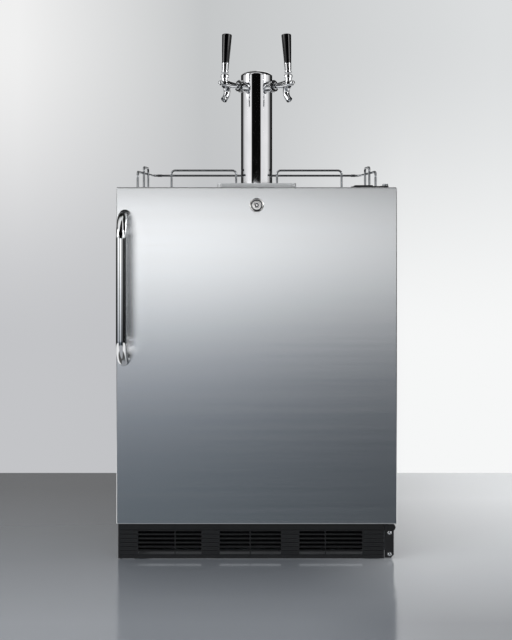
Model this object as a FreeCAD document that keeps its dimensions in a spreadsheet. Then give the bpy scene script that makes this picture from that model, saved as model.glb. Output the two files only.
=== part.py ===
"""Two-tap draught beer dispenser: a refrigerated cabinet with a draught column on its top.

Frame: millimetres, +X to the right, +Y to the back, +Z up. The origin is at the floor, under the middle of
the whole object's width and depth. Every size is a cell of the Sizes sheet, or a formula of those cells.
"""

import FreeCAD, Part
import math
import os
import re

import Sketcher
from FreeCAD import Placement, Rotation, Vector

OUT = "parts"

SIZES = {
    # the cabinet as a whole
    "CabinetWidth": 598,
    "CabinetHeight": 800,
    "Depth": 597,  # door face to back
    "FloorGap": 20,  # under the cabinet sides
    "SheetThick": 1,
    "TopPanelThick": 3,
    "TopPanelEdge": 1.5,
    # the insulated room
    "RoomSideWall": 43,
    "RoomBackWall": 48,
    "RoomFloor": 130,
    "RoomTopDrop": 42,
    "HumpDepth": 142,
    "HumpHeight": 200,
    "LinerThick": 2,
    "LinerCorner": 12,
    "BulkheadDrop": 35,  # foam under the room floor, the liner included
    "BulkheadStand": 32,  # foam behind the hump, the liner included
    "FoamGap": 0.2,
    "LineHoleRadius": 26,
    "GasPortRadius": 12.5,
    "GasPortDrop": 198,
    "GasPortOffset": 215,
    # the base
    "PanHeight": 18,
    "PanThick": 1.5,
    "PanWall": 42,
    "PanVentInset": 37,
    "ArmInset": 4.5,
    "FootRadius": 18,
    "FootThick": 8,
    "FootRim": 2,
    "StemRadius": 5,
    "StemTop": 44,
    "NutRadius": 11,
    "NutHeight": 12,
    "FootInset": 42,
    "FootFrontSet": 92,
    "FootRearSet": 45,
    "RunClear": 0.05,
    # the kick grille
    "KickSetback": 14,
    "KickThick": 3,
    "KickLow": 4,
    "KickHigh": 78,
    "KickInset": 4,  # beside the hinge pin
    "KickCorner": 5,
    "SlotRows": 6,
    "SlotPitch": 8.9,
    "SlotHigh": 5,
    "SlotLow": 10.5,
    "RibWide": 2.4,
    "RibHigh": 1.4,
    "RibProud": 0.9,
    "VentOneLeft": -255,
    "VentOneRight": -119,
    "VentOneRib": -175.5,
    "VentTwoLeft": -79.5,
    "VentTwoRight": 52,
    "VentTwoRib": -14,
    "VentThreeLeft": 92,
    "VentThreeRight": 227,
    "VentThreeRib": 147.6,
    # the hinges
    "PinInset": 22,
    "PinSetback": 24,
    "PinRadius": 4,
    "PinDepth": 14,
    "BushRadius": 7,
    "BushDepth": 17,
    "BracketInset": 3,  # inside the pin
    "BracketReach": 17,  # outside the pin
    "BracketLow": 3,
    "BracketHigh": 78,
    "BracketThick": 3,
    "BracketCorner": 6,
    "ShelfInset": 12,
    "ShelfHigh": 76,
    "ShelfThick": 4,
    "ShelfReach": 44,
    "LobeRadius": 7.5,
    "LobeHeight": 68,
    "ScrewSet": 8,
    "ScrewRadius": 3,
    "ScrewHeadRadius": 4.6,
    "ScrewHeadHeight": 2.6,
    "ScrewLow": 10.5,
    "ScrewHigh": 56.5,
    "ScrewLength": 12,
    "PlateInset": 64,
    "PlateThick": 3.4,
    "PlateReach": 62,
    "BossRadius": 7,
    "PinHeadHeight": 4,
    "PinHeadRadius": 6,
    "HoodInset": 58,
    "HoodWidth": 40,
    "HoodDepth": 26,
    "HoodHeight": 2.6,
    # the door
    "DoorLap": 1,  # past each side of the cabinet
    "DoorFoot": 79.5,
    "DoorThick": 52,
    "DoorTopDrop": 1,
    "SkinThick": 1,
    "SkinBend": 2.5,
    "DoorLinerThick": 6,
    "DoorRearEdge": 5,
    "PanelInset": 64,
    "PanelLow": 150,
    "PanelDrop": 69,
    "PanelProud": 4,
    "GasketGap": 8,
    "GasketRest": 0.3,
    "GasketInset": 23,
    "GasketWide": 13,
    "GasketLow": 107,
    "GasketDrop": 11,
    # the towel-bar handle
    "HandleReach": 64,
    "HandleRadius": 11,
    "HandleWall": 1.5,
    "HandleBend": 50,
    "HandleSpan": 311,
    "HandleDrop": 58,
    "HandleInset": 18,
    # the lock
    "LockDrop": 37.6,
    "BezelRadius": 13,
    "BezelHeight": 2.5,
    "BezelEdge": 1,
    "LockRadius": 9.5,
    "PlugRadius": 5.6,
    "PlugSink": 1,
    "PlugTail": 3.5,
    "KeyWide": 1.6,
    "KeyTall": 6,
    "KeyDeep": 8,
    "CamThick": 1.6,
    "CamWide": 10,
    "CamLength": 26,
    "CamGap": 3.9,  # door liner to cam
    "KeeperLeft": 9,
    "KeeperRight": 30,
    "KeeperUnder": 2.9,  # below the lock's axis
    "KeeperOver": 10.1,
    "KeeperThick": 1.2,
    "KeeperDeep": 6.8,
    # the draught column
    "ColumnSetback": 286,
    "ColumnRadius": 38.1,
    "ColumnWall": 1.5,
    "ColumnHeight": 275,
    "CapRim": 5,
    "CapRise": 13,
    "CapSkirt": 16,
    "CapClear": 0.1,
    "FlangeRadius": 54,
    "FlangeThick": 5,
    "CollarHeight": 20,
    "ColumnBore": 30,
    "LaggingBore": 15,
    "LaggingClear": 0.4,
    # the faucets, along the faucet from the column's axis
    "FaucetHeight": 246,
    "FaucetSplay": 45,
    "ShankInner": 22,
    "ShankRadius": 11,
    "ShankBore": 4,
    "SaddleRadius": 15.5,
    "SaddleStart": 30,
    "SaddleEnd": 52,
    "SaddleClear": 0.1,
    "NutStart": 52.5,
    "NutEnd": 70,
    "NutOuter": 13.25,
    "NutLip": 9.2,
    "BodyThroat": 7.2,
    "BodySwell": 9.8,
    "LeverReach": 106,
    "NoseReach": 120,
    "NoseRadius": 7,
    "NeckRadius": 7.2,
    "NeckTop": 15,
    "BoreRadius": 4.6,
    "SlotInner": 94.2,
    "SlotTopInner": 100.3,
    "SlotOuter": 110.5,
    "SlotHalf": 3.4,
    "SpoutRadius": 7.9,
    "SpoutBore": 5.2,
    "SpoutBoreDepth": 9,
    "SpoutMidReach": 100.5,
    "SpoutMidDrop": 15,
    "SpoutTipReach": 109,
    "SpoutTipDrop": 37,
    "BonnetLow": 15,
    "BonnetHigh": 24.3,
    "BonnetRadius": 10.5,
    "BonnetMouth": 7.2,
    "BonnetBand": 4.5,
    "BallRadius": 5.6,
    "BallRise": 20.9,  # ball centre above the faucet's axis
    "BallClear": 0.3,
    "LeverLean": 4,
    "LeverNeck": 3.4,
    "TailRadius": 2.2,
    "TailLength": 19.5,
    "CollarRadius": 9.5,
    "CollarStart": 6.7,  # above the ball centre
    "CollarThick": 4.6,
    "StudRadius": 4,
    "StudLength": 28,
    "FerruleStart": 12.1,
    "FerruleEnd": 29.6,
    "FerruleLow": 7.4,
    "FerruleHigh": 8.6,
    "GripEnd": 99.6,
    "GripLow": 8.4,
    "GripHigh": 11.6,
    "GripCrown": 2.5,
    "PlungerInner": 80,
    "PlungerOuter": 115,
    "PlungerRadius": 4.5,
    "PlungerSlot": 7.2,
    # the beer lines in the column
    "LineRadius": 3.5,
    "LineBend": 14,
    "LineSet": 6.4,  # from the column's axis to each line
    "BarbSpread": 10,
    "ManifoldRadius": 24,
    "ManifoldThick": 16,
    "ManifoldRim": 32,
    "BarbRadius": 4,
    "BarbLength": 18,
    # the drip tray
    "TrayWidth": 176,
    "TrayFront": 80,
    "TrayRear": 215,
    "TrayHeight": 10,
    "TrayWall": 1.2,
    "TrayCorner": 12,
    "GrateThick": 2,
    "GrateLedge": 1,
    "GrateClear": 0.6,
    "GrateSlots": 15,
    "GrateSlotWide": 4,
    "GrateSlotPitch": 8,
    "GrateMargin": 14,
    "TrayStud": 3,
    # the guard rail
    "WireRadius": 2.5,
    "RailInset": 13.4,
    "RailRear": 570,
    "RailFront": 248,
    "RailHeight": 41,
    "RailCorner": 14,
    "LoopHeight": 55,
    "LoopGap": 0.4,
    "LoopBend": 10,
    "RearLoopInner": 56,
    "RearLoopOuter": 233,
    "SideLoopFront": 328,
    "SideLoopRear": 417,
    "CupRadius": 6,
    "CupHeight": 4,
    "SleeveRadius": 3.6,
    "SleeveLength": 12,
    # the machine bay and the fittings in the room
    "CompressorInset": 179,
    "CompressorRadius": 66,
    "CompressorHeight": 165,
    "CompressorDome": 30,
    "CompressorShell": 15,
    "CompressorPlate": 2.5,
    "MountRadius": 11,
    "MountHeight": 14,
    "MountSpreadX": 72,
    "MountSpreadY": 48,
    "MountStud": 4,
    "BayMiddle": 82,  # from the back to the machine bay's middle
    "CondenserInset": 37,
    "CondenserWide": 90,
    "CondenserLow": 50,
    "CondenserHigh": 220,
    "CondenserDepth": 117,
    "FinThick": 3,
    "FinPitch": 6,
    "FinEnd": 4,
    "FinGaps": 19,
    "CoilRadius": 3.2,
    "CoilRows": 6,
    "CoilPitch": 30,
    "FanInset": 179,
    "FanRadius": 58,
    "FanRing": 62,
    "FanFrame": 66,
    "FanDepth": 24,
    "FanHeight": 100,
    "HubRadius": 16,
    "HubLength": 16,
    "BladeThick": 1.6,
    "BladeSweep": 17,
    "BladeRise": 7,
    "Blades": 5,
    "MotorRadius": 20,
    "MotorLength": 30,
    "ShaftRadius": 2.5,
    "ArmWide": 9,
    "EvaporatorHalf": 178,
    "EvaporatorDrop": 68,
    "EvaporatorTall": 290,
    "EvaporatorThick": 6,
    "RidgeRadius": 4,
    "RidgeRows": 7,
    "RidgePitch": 38,
    "ControlDeep": 30,
    "ControlFront": 60,
    "ControlRear": 190,
    "ControlDrop": 12,
    "ControlTall": 56,
    "KnobRadius": 15,
    "KnobHeight": 14,
    "KnobGrip": 4,
    "KnobShaft": 3,
    "KnobSeat": 0.3,
    "KnobSet": 95,
    "RockerSet": 155,
    "RockerLong": 18,
    "RockerWide": 11,
    "RockerDeep": 7,
    "RockerClear": 0.4,
    "RockerTilt": 8,
    # the back
    "LouvreRows": 8,
    "LouvrePitch": 16,
    "LouvreHigh": 5,
    "LouvreHalf": 190,
    "LouvreLow": 90,
}

DERIVED = {
    "Side": "CabinetWidth / 2",
    "DoorWidth": "CabinetWidth + 2 * DoorLap",
    "Front": "(HandleReach - Depth) / 2",
    "Back": "Front + Depth",
    "DoorRear": "Front + DoorThick",
    "Mouth": "DoorRear + GasketGap",
    "DoorTop": "CabinetHeight - DoorTopDrop",
    "PanelUnder": "CabinetHeight - TopPanelThick",
    "RoomTop": "CabinetHeight - RoomTopDrop",
    "RoomBack": "Back - RoomBackWall",
    "RoomWidth": "CabinetWidth - 2 * RoomSideWall",
    "HumpFront": "RoomBack - HumpDepth",
    "HumpTop": "RoomFloor + HumpHeight",
    "BulkheadLow": "RoomFloor - BulkheadDrop",
    "BulkheadBack": "HumpFront + BulkheadStand",
    "BulkheadHigh": "HumpTop - BulkheadDrop",
    "Grille": "Front + KickSetback",
    "GrilleRear": "Grille + KickThick",
    "PanTop": "PanHeight + PanThick",
    "PanVentHalf": "Side - PanVentInset",
    "PinX": "DoorWidth / 2 - PinInset",
    "PinY": "Front + PinSetback",
    "KickRight": "PinX - KickInset",
    "BracketLeft": "PinX - BracketInset",
    "BracketRight": "PinX + BracketReach",
    "ShelfLeft": "PinX - ShelfInset",
    "ScrewOffset": "PinX + ScrewSet",
    "PlateLeft": "PinX - PlateInset",
    "HoodLeft": "PinX - HoodInset",
    "PanelSide": "DoorWidth / 2 - PanelInset",
    "GasketOut": "DoorWidth / 2 - GasketInset",
    "ShelfLow": "ShelfHigh - ShelfThick",
    "LockHeight": "DoorTop - LockDrop",
    "KeeperLow": "LockHeight - KeeperUnder",
    "KeeperHigh": "LockHeight + KeeperOver",
    "GasketHigh": "DoorTop - GasketDrop",
    "PanelHigh": "DoorTop - PanelDrop",
    "HandleX": "HandleInset - DoorWidth / 2",
    "HandleHigh": "DoorTop - HandleDrop",
    "HandleLow": "HandleHigh - HandleSpan",
    "ColumnY": "Front + ColumnSetback",
    "ColumnInner": "ColumnRadius - ColumnWall",
    "ColumnTop": "CabinetHeight + ColumnHeight",
    "FlangeTop": "CabinetHeight + FlangeThick",
    "RailSide": "Side - RailInset",
    "RailY": "Front + RailRear",
    "RailZ": "CabinetHeight + RailHeight",
    "LoopSide": "RailSide - 2 * WireRadius - LoopGap",
    "LoopRear": "RailY - 2 * WireRadius - LoopGap",
    "BayY": "Back - BayMiddle",
    "CompressorX": "Side - CompressorInset",
    "CondenserLeft": "CondenserInset - Side",
    "CondenserRight": "CondenserLeft + CondenserWide",
    "FanX": "FanInset - Side",
    "MachineFloor": "PanTop + MountHeight",
    "TrayFrontY": "Front + TrayFront",
    "TrayRearY": "Front + TrayRear",
    "TrayTop": "CabinetHeight + TrayHeight",
    "GrateLow": "TrayTop - GrateThick - GrateLedge",
    "GrateHalf": "TrayWidth / 2 - TrayWall - GrateClear",
    "CamFront": "DoorRear + CamGap",
    "ControlX": "RoomWidth / 2 - ControlDeep",
    "ControlHigh": "RoomTop - ControlDrop",
    "ControlLow": "ControlHigh - ControlTall",
    "ControlMiddle": "ControlHigh - ControlTall / 2",
    "EvaporatorHigh": "RoomTop - EvaporatorDrop",
    "EvaporatorLow": "EvaporatorHigh - EvaporatorTall",
    "GasPortHeight": "RoomTop - GasPortDrop",
}

TURN_TO = {
    "x": Rotation(Vector(0, 1, 0), 90),
    "y": Rotation(Vector(1, 0, 0), -90),
    "z": Rotation(),
}
SIDES = {"left": -1, "right": 1}

doc = FreeCAD.newDocument("BeerDispenser")
nodes = []


def formula(text):
    """A formula of size names, written out for the sheet's cells."""

    def cell(found):
        word = found.group(0)
        if word in DERIVED:
            return f"({formula(DERIVED[word])})"
        return f"Sizes.{word}"

    return re.sub(r"[A-Z][A-Za-z]+", cell, text)


def value(text):
    """What a formula comes to now, in millimetres or degrees."""
    return float(sheet.evalExpression(formula(text)))


def bind(thing, **formulas):
    """Ties properties of a document object to formulas."""
    for name, text in formulas.items():
        thing.setExpression(name, formula(text))


def place(thing, x="0", y="0", z="0"):
    """Ties an object's place to formulas."""
    for axis, text in zip("xyz", (x, y, z), strict=True):
        thing.setExpression(f".Placement.Base.{axis}", formula(text))


def keep(node, thing):
    """Makes a finished object one of the nodes."""
    thing.Label = node
    nodes.append(thing)
    return thing


def box(name, low, high):
    """A block between two corners."""
    block = doc.addObject("Part::Box", name)
    for side, start, end in zip(("Length", "Width", "Height"), low, high, strict=True):
        block.setExpression(side, formula(f"({end}) - ({start})"))
    place(block, *low)
    return block


def rod(name, axis, start, radius, length):
    """A cylinder along an axis from its start."""
    bar = doc.addObject("Part::Cylinder", name)
    bar.Placement = Placement(Vector(), TURN_TO[axis])
    place(bar, *start)
    bind(bar, Radius=radius, Height=length)
    return bar


def join(name, *pieces):
    """Several objects as one."""
    whole = doc.addObject("Part::MultiFuse", name)
    whole.Shapes = list(pieces)
    return whole


def cut(name, base, *tools):
    """An object less one or more tools."""
    rest = doc.addObject("Part::Cut", name)
    rest.Base = base
    rest.Tool = tools[0] if len(tools) == 1 else join(f"{name}Tools", *tools)
    return rest


def new_body(node):
    """A part-design body that is a node."""
    name = "".join(word.capitalize() for word in node.split("_"))
    return keep(node, doc.addObject("PartDesign::Body", name))


def sketch(body, name, plane, x="0", y="0", out="0", turn=None):
    """A sketch on one of the body's own planes, moved in it and out of it."""
    drawing = body.newObject("Sketcher::SketchObject", f"{body.Name}{name}")
    origin_plane = next(o for o in body.Origin.OriginFeatures if o.Role == f"{plane}_Plane")
    drawing.AttachmentSupport = (origin_plane, [""])
    drawing.MapMode = "FlatFace"
    drawing.AttachmentOffset = Placement(Vector(), Rotation(Vector(0, 0, 1), 1 if turn else 0))
    for axis, text in zip("xyz", (x, y, out), strict=True):
        drawing.setExpression(f"AttachmentOffset.Base.{axis}", formula(text))
    if turn:
        drawing.setExpression("AttachmentOffset.Rotation.Angle", formula(turn))
    return drawing


def pin_point(drawing, line, end, x, y):
    """Ties one end of a line to a point of the sketch."""
    for kind, text in (("DistanceX", x), ("DistanceY", y)):
        row = drawing.addConstraint(Sketcher.Constraint(kind, -1, 1, line, end, value(text)))
        drawing.setExpression(f"Constraints[{row}]", formula(text))


def outline(drawing, *corners):
    """A closed outline of straight lines through corners."""
    first = drawing.GeometryCount
    spots = [Vector(value(x), value(y), 0) for x, y in corners]
    count = len(corners)
    for i, spot in enumerate(spots):
        drawing.addGeometry(Part.LineSegment(spot, spots[(i + 1) % count]), False)
    for i in range(count):
        drawing.addConstraint(
            Sketcher.Constraint("Coincident", first + i, 2, first + (i + 1) % count, 1)
        )
    for i, (x, y) in enumerate(corners):
        pin_point(drawing, first + i, 1, x, y)
    return drawing


def rectangle(drawing, left, low, right, high):
    """A rectangle as an outline."""
    return outline(drawing, (left, low), (right, low), (right, high), (left, high))


def circle(drawing, x, y, radius):
    """A circle with its centre at a point of the sketch."""
    ring = drawing.addGeometry(
        Part.Circle(Vector(value(x), value(y), 0), Vector(0, 0, 1), value(radius)), False
    )
    pin_point(drawing, ring, 3, x, y)
    row = drawing.addConstraint(Sketcher.Constraint("Radius", ring, value(radius)))
    drawing.setExpression(f"Constraints[{row}]", formula(radius))
    return drawing


def arch(drawing, foot, crown, low, high, bend, legs_up):
    """A path of two legs, two round bends and a bridge: legs from the foot, bridge at the crown."""

    def spot(along, across):
        return Vector(across, along, 0) if legs_up else Vector(along, across, 0)

    base, top, near, far, radius = (value(text) for text in (foot, crown, low, high, bend))
    turn = math.copysign(radius, top - base)
    slack = radius * (1 - math.sqrt(0.5))
    arc_in = Part.Arc(
        spot(top - turn, near), spot(top - math.copysign(slack, turn), near + slack), spot(
            top, near + radius
        )
    )
    arc_out = Part.Arc(
        spot(top, far - radius), spot(top - math.copysign(slack, turn), far - slack), spot(
            top - turn, far
        )
    )
    leg_in = Part.LineSegment(spot(base, near), spot(top - turn, near))
    leg_out = Part.LineSegment(spot(top - turn, far), spot(base, far))
    bridge = Part.LineSegment(spot(top, near + radius), spot(top, far - radius))
    for piece in (leg_in, arc_in, bridge, arc_out, leg_out):
        drawing.addGeometry(piece, False)
    along, across = ("DistanceY", "DistanceX") if legs_up else ("DistanceX", "DistanceY")
    level, upright = ("Horizontal", "Vertical") if legs_up else ("Vertical", "Horizontal")
    for row in (
        Sketcher.Constraint("Tangent", 0, 2, 1, arc_end(drawing, 1, leg_in.EndPoint)),
        Sketcher.Constraint("Tangent", 2, 1, 1, arc_end(drawing, 1, bridge.StartPoint)),
        Sketcher.Constraint("Tangent", 2, 2, 3, arc_end(drawing, 3, bridge.EndPoint)),
        Sketcher.Constraint("Tangent", 4, 1, 3, arc_end(drawing, 3, leg_out.StartPoint)),
        Sketcher.Constraint(upright, 0),
        Sketcher.Constraint(level, 2),
        Sketcher.Constraint(upright, 4),
        Sketcher.Constraint("Equal", 1, 3),
    ):
        drawing.addConstraint(row)
    for kind, line, end, text in (
        (along, 0, 1, foot),
        (across, 0, 1, low),
        (along, 4, 2, foot),
        (across, 4, 2, high),
        (along, 2, 1, crown),
    ):
        row = drawing.addConstraint(Sketcher.Constraint(kind, -1, 1, line, end, value(text)))
        drawing.setExpression(f"Constraints[{row}]", formula(text))
    row = drawing.addConstraint(Sketcher.Constraint("Radius", 1, radius))
    drawing.setExpression(f"Constraints[{row}]", formula(bend))
    return drawing


def arc_end(drawing, arc, spot):
    """Which end of an arc of a sketch lies at a spot: 1 or 2."""
    return 1 if drawing.getPoint(arc, 1).distanceToPoint(spot) < 1e-6 else 2


def feature(body, kind, name, drawing, **formulas):
    """A pad, pocket or groove of a sketch."""
    made = body.newObject(f"PartDesign::{kind}", f"{body.Name}{name}")
    made.Profile = drawing
    bind(made, **formulas)
    return made


def turned(body, name, drawing, axis="V_Axis", kind="Revolution"):
    """A full turn of a sketch about one of its axes."""
    made = body.newObject(f"PartDesign::{kind}", f"{body.Name}{name}")
    made.Profile = drawing
    made.ReferenceAxis = (drawing, [axis])
    made.Angle = 360
    return made


def swept(body, name, section, path, edges):
    """A section swept along a path sketch."""
    made = body.newObject("PartDesign::AdditivePipe", f"{body.Name}{name}")
    made.Profile = section
    made.Spine = (path, [f"Edge{i + 1}" for i in range(edges)])
    return made


def rounded(body, name, base, radius, wanted, kind="Fillet", prop="Radius"):
    """Rounds or chamfers the edges of a feature that a test picks out."""
    doc.recompute()
    picked = [f"Edge{i + 1}" for i, edge in enumerate(base.Shape.Edges) if wanted(edge)]
    if not picked:
        raise RuntimeError(f"{body.Label} {name}: no edge to round")
    made = body.newObject(f"PartDesign::{kind}", f"{body.Name}{name}")
    made.Base = (base, picked)
    bind(made, **{prop: radius})
    return made


def runs_along(edge, axis):
    """Whether an edge is a straight line along an axis."""
    if len(edge.Vertexes) != 2 or not isinstance(edge.Curve, Part.Line):
        return False
    way = edge.Vertexes[1].Point - edge.Vertexes[0].Point
    return abs(getattr(way, axis)) > 0.999 * way.Length


def lies_at(edge, axis, text):
    """Whether both ends of an edge lie at a value of one coordinate."""
    return all(abs(getattr(v.Point, axis) - value(text)) < 1e-4 for v in edge.Vertexes)


def wire_path(corners, bend):
    """A wire of straight runs with a round bend at each inner corner."""
    edges = []
    start = corners[0]
    for before, corner, after in zip(corners, corners[1:], corners[2:]):
        into = (corner - before).normalize()
        away = (after - corner).normalize()
        half = into.getAngle(away) / 2
        reach = bend * math.tan(half)
        first = corner - into * reach
        last = corner + away * reach
        middle = corner + (away - into).normalize() * (bend / math.cos(half) - bend)
        edges.append(Part.LineSegment(start, first).toShape())
        edges.append(Part.Arc(first, middle, last).toShape())
        start = last
    edges.append(Part.LineSegment(start, corners[-1]).toShape())
    return Part.Wire(edges)


def bar_along(corners, bend, radius):
    """A round bar along such a wire."""
    path = wire_path(corners, bend)
    way = corners[1] - corners[0]
    section = Part.Wire([Part.makeCircle(radius, corners[0], way)])
    return path.makePipeShell([section], True, False)


def solid(node, shape):
    """A shape made by Part's own functions, as a node."""
    thing = doc.addObject("Part::Feature", "".join(word.capitalize() for word in node.split("_")))
    thing.Shape = shape
    return keep(node, thing)


def spot(x, y, z):
    """A point from three formulas."""
    return Vector(value(x), value(y), value(z))


# ---- the sheet -----------------------------------------------------------------------------------

sheet = doc.addObject("Spreadsheet::Sheet", "Sizes")
for line, (alias, size) in enumerate(SIZES.items(), 1):
    sheet.set(f"A{line}", alias)
    sheet.set(f"B{line}", str(size))
    sheet.setAlias(f"B{line}", alias)
doc.recompute()

# ---- the cabinet ---------------------------------------------------------------------------------


def cabinet_wrap():
    """One sheet bent over both sides and the top."""
    outer = box("WrapOuter", ("-Side", "Mouth", "FloorGap"), ("Side", "Back - SheetThick", "PanelUnder"))
    inner = box(
        "WrapInner",
        ("SheetThick - Side", "Mouth - SheetThick", "FloorGap - SheetThick"),
        ("Side - SheetThick", "Back", "PanelUnder - SheetThick"),
    )
    pass_through = rod("WrapLineHole", "z", ("0", "ColumnY", "RoomTop"), "ColumnBore", "RoomTopDrop")
    keep("cabinet_wrap", cut("CabinetWrap", outer, inner, pass_through))


def top_panel():
    """The worktop, with the hole that the beer lines come up through."""
    body = new_body("top_panel")
    plan = rectangle(sketch(body, "Plan", "XY", out="PanelUnder"), "-Side", "Mouth", "Side", "Back")
    circle(plan, "0", "ColumnY", "ColumnBore")
    slab = feature(body, "Pad", "Slab", plan, Length="TopPanelThick")
    rounded(
        body,
        "Edge",
        slab,
        "TopPanelEdge",
        lambda e: lies_at(e, "z", "CabinetHeight") and (runs_along(e, "x") or runs_along(e, "y")),
    )


def back_panel():
    """The rear sheet, with louvres at the machine bay and the gas line's port."""
    body = new_body("back_panel")
    face = sketch(body, "Face", "XZ", out="-Back")
    rectangle(face, "-Side", "FloorGap", "Side", "PanelUnder")
    circle(face, "GasPortOffset", "GasPortHeight", "GasPortRadius")
    feature(body, "Pad", "Sheet", face, Length="SheetThick")
    louvre = sketch(body, "Louvre", "XZ", out="-Back")
    rectangle(louvre, "-LouvreHalf", "LouvreLow", "LouvreHalf", "LouvreLow + LouvreHigh")
    slot = feature(body, "Pocket", "LouvreCut", louvre, Length="2 * SheetThick")
    slot.Reversed = True
    repeat(body, "Louvres", slot, louvre, "LouvreRows", "LouvrePitch")


def repeat(body, name, original, drawing, rows, pitch, axis="V_Axis"):
    """Repeats a feature along an axis of its sketch."""
    pattern = body.newObject("PartDesign::LinearPattern", f"{body.Name}{name}")
    pattern.Originals = [original]
    pattern.Direction = (drawing, [axis])
    pattern.Mode = "Spacing"
    bind(pattern, Offset=pitch, Occurrences=rows)
    body.Tip = pattern
    return pattern


def room_outline(drawing, grow, front):
    """The room's section, front to back, grown by a wall."""
    return outline(
        drawing,
        (front, f"RoomFloor - ({grow})"),
        (f"HumpFront + ({grow})", f"RoomFloor - ({grow})"),
        (f"HumpFront + ({grow})", f"HumpTop - ({grow})"),
        (f"RoomBack + ({grow})", f"HumpTop - ({grow})"),
        (f"RoomBack + ({grow})", f"RoomTop + ({grow})"),
        (front, f"RoomTop + ({grow})"),
    )


def cabinet_foam():
    """The insulation between the wrap, the bulkhead and the liner."""
    body = new_body("cabinet_foam")
    half = "(Side - SheetThick)"
    section = outline(
        sketch(body, "Section", "YZ", out=f"-{half}"),
        ("Mouth + LinerThick", "BulkheadLow"),
        ("BulkheadBack", "BulkheadLow"),
        ("BulkheadBack", "BulkheadHigh"),
        ("Back - SheetThick", "BulkheadHigh"),
        ("Back - SheetThick", "PanelUnder - SheetThick"),
        ("Mouth + LinerThick", "PanelUnder - SheetThick"),
    )
    feature(body, "Pad", "Block", section, Length=f"2 * {half}")
    room_half = "(RoomWidth / 2 + LinerThick + FoamGap)"
    room = sketch(body, "Room", "YZ", out=f"-{room_half}")
    room_outline(room, "LinerThick + FoamGap", "Mouth")
    hollow = feature(body, "Pocket", "Hollow", room, Length=f"2 * {room_half}")
    hollow.Reversed = True
    bored(body, "LineHole", "XY", "RoomTop", "0", "ColumnY", "ColumnBore", "RoomTopDrop")
    bored(
        body,
        "GasHole",
        "XZ",
        "-Back",
        "GasPortOffset",
        "GasPortHeight",
        "GasPortRadius",
        "Back - RoomBack",
    )


def bored(body, name, plane, out, x, y, radius, length):
    """A round hole that starts at a plane and runs along its normal."""
    drawing = circle(sketch(body, name, plane, out=out), x, y, radius)
    hole = feature(body, "Pocket", f"{name}Cut", drawing, Length=length)
    hole.Reversed = True
    return hole


def cabinet_liner():
    """The room's moulded wall, open to the front, with a flange that the gasket meets."""
    body = new_body("cabinet_liner")
    outer_half = "(RoomWidth / 2 + LinerThick)"
    outer = sketch(body, "Outer", "YZ", out=f"-{outer_half}")
    room_outline(outer, "LinerThick", "Mouth")
    feature(body, "Pad", "Block", outer, Length=f"2 * {outer_half}")
    ring = sketch(body, "Flange", "XZ", out="-Mouth - LinerThick")
    half = "(Side - SheetThick)"
    rectangle(ring, f"-{half}", "BulkheadLow", half, "PanelUnder - SheetThick")
    feature(body, "Pad", "FlangePlate", ring, Length="LinerThick")
    room = sketch(body, "Room", "YZ", out="-RoomWidth / 2")
    room_outline(room, "0", "Mouth - LinerThick")
    hollow = feature(body, "Pocket", "Hollow", room, Length="RoomWidth")
    hollow.Reversed = True
    line_hole = bored(
        body, "LineHole", "XY", "RoomTop - LinerThick", "0", "ColumnY", "LineHoleRadius", "RoomTopDrop"
    )
    gas_hole = bored(
        body,
        "GasHole",
        "XZ",
        "-Back",
        "GasPortOffset",
        "GasPortHeight",
        "GasPortRadius",
        "Back - RoomBack + LinerThick",
    )
    half_room = "RoomWidth / 2"

    def inner_corner(edge):
        side = any(lies_at(edge, "x", text) for text in (half_room, f"-{half_room}"))
        level = any(lies_at(edge, "z", text) for text in ("RoomFloor", "RoomTop"))
        return runs_along(edge, "y") and side and level

    rounded(body, "Corners", gas_hole, "LinerCorner", inner_corner)


def machine_bulkhead():
    """The stepped sheet under the insulation, over the machine bay."""
    body = new_body("machine_bulkhead")
    half = "(Side - SheetThick)"
    section = outline(
        sketch(body, "Section", "YZ", out=f"-{half}"),
        ("Mouth", "BulkheadLow - SheetThick"),
        ("BulkheadBack + SheetThick", "BulkheadLow - SheetThick"),
        ("BulkheadBack + SheetThick", "BulkheadHigh - SheetThick"),
        ("Back - SheetThick", "BulkheadHigh - SheetThick"),
        ("Back - SheetThick", "BulkheadHigh"),
        ("BulkheadBack", "BulkheadHigh"),
        ("BulkheadBack", "BulkheadLow"),
        ("Mouth", "BulkheadLow"),
    )
    feature(body, "Pad", "Sheet", section, Length=f"2 * {half}")


def feet_places():
    """The four feet: name, side, and place along the depth."""
    for row, y in (("front", "Front + FootFrontSet"), ("rear", "Back - FootRearSet")):
        for side, sign in SIDES.items():
            yield f"{row}_{side}", f"{sign} * (Side - FootInset)", y


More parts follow.
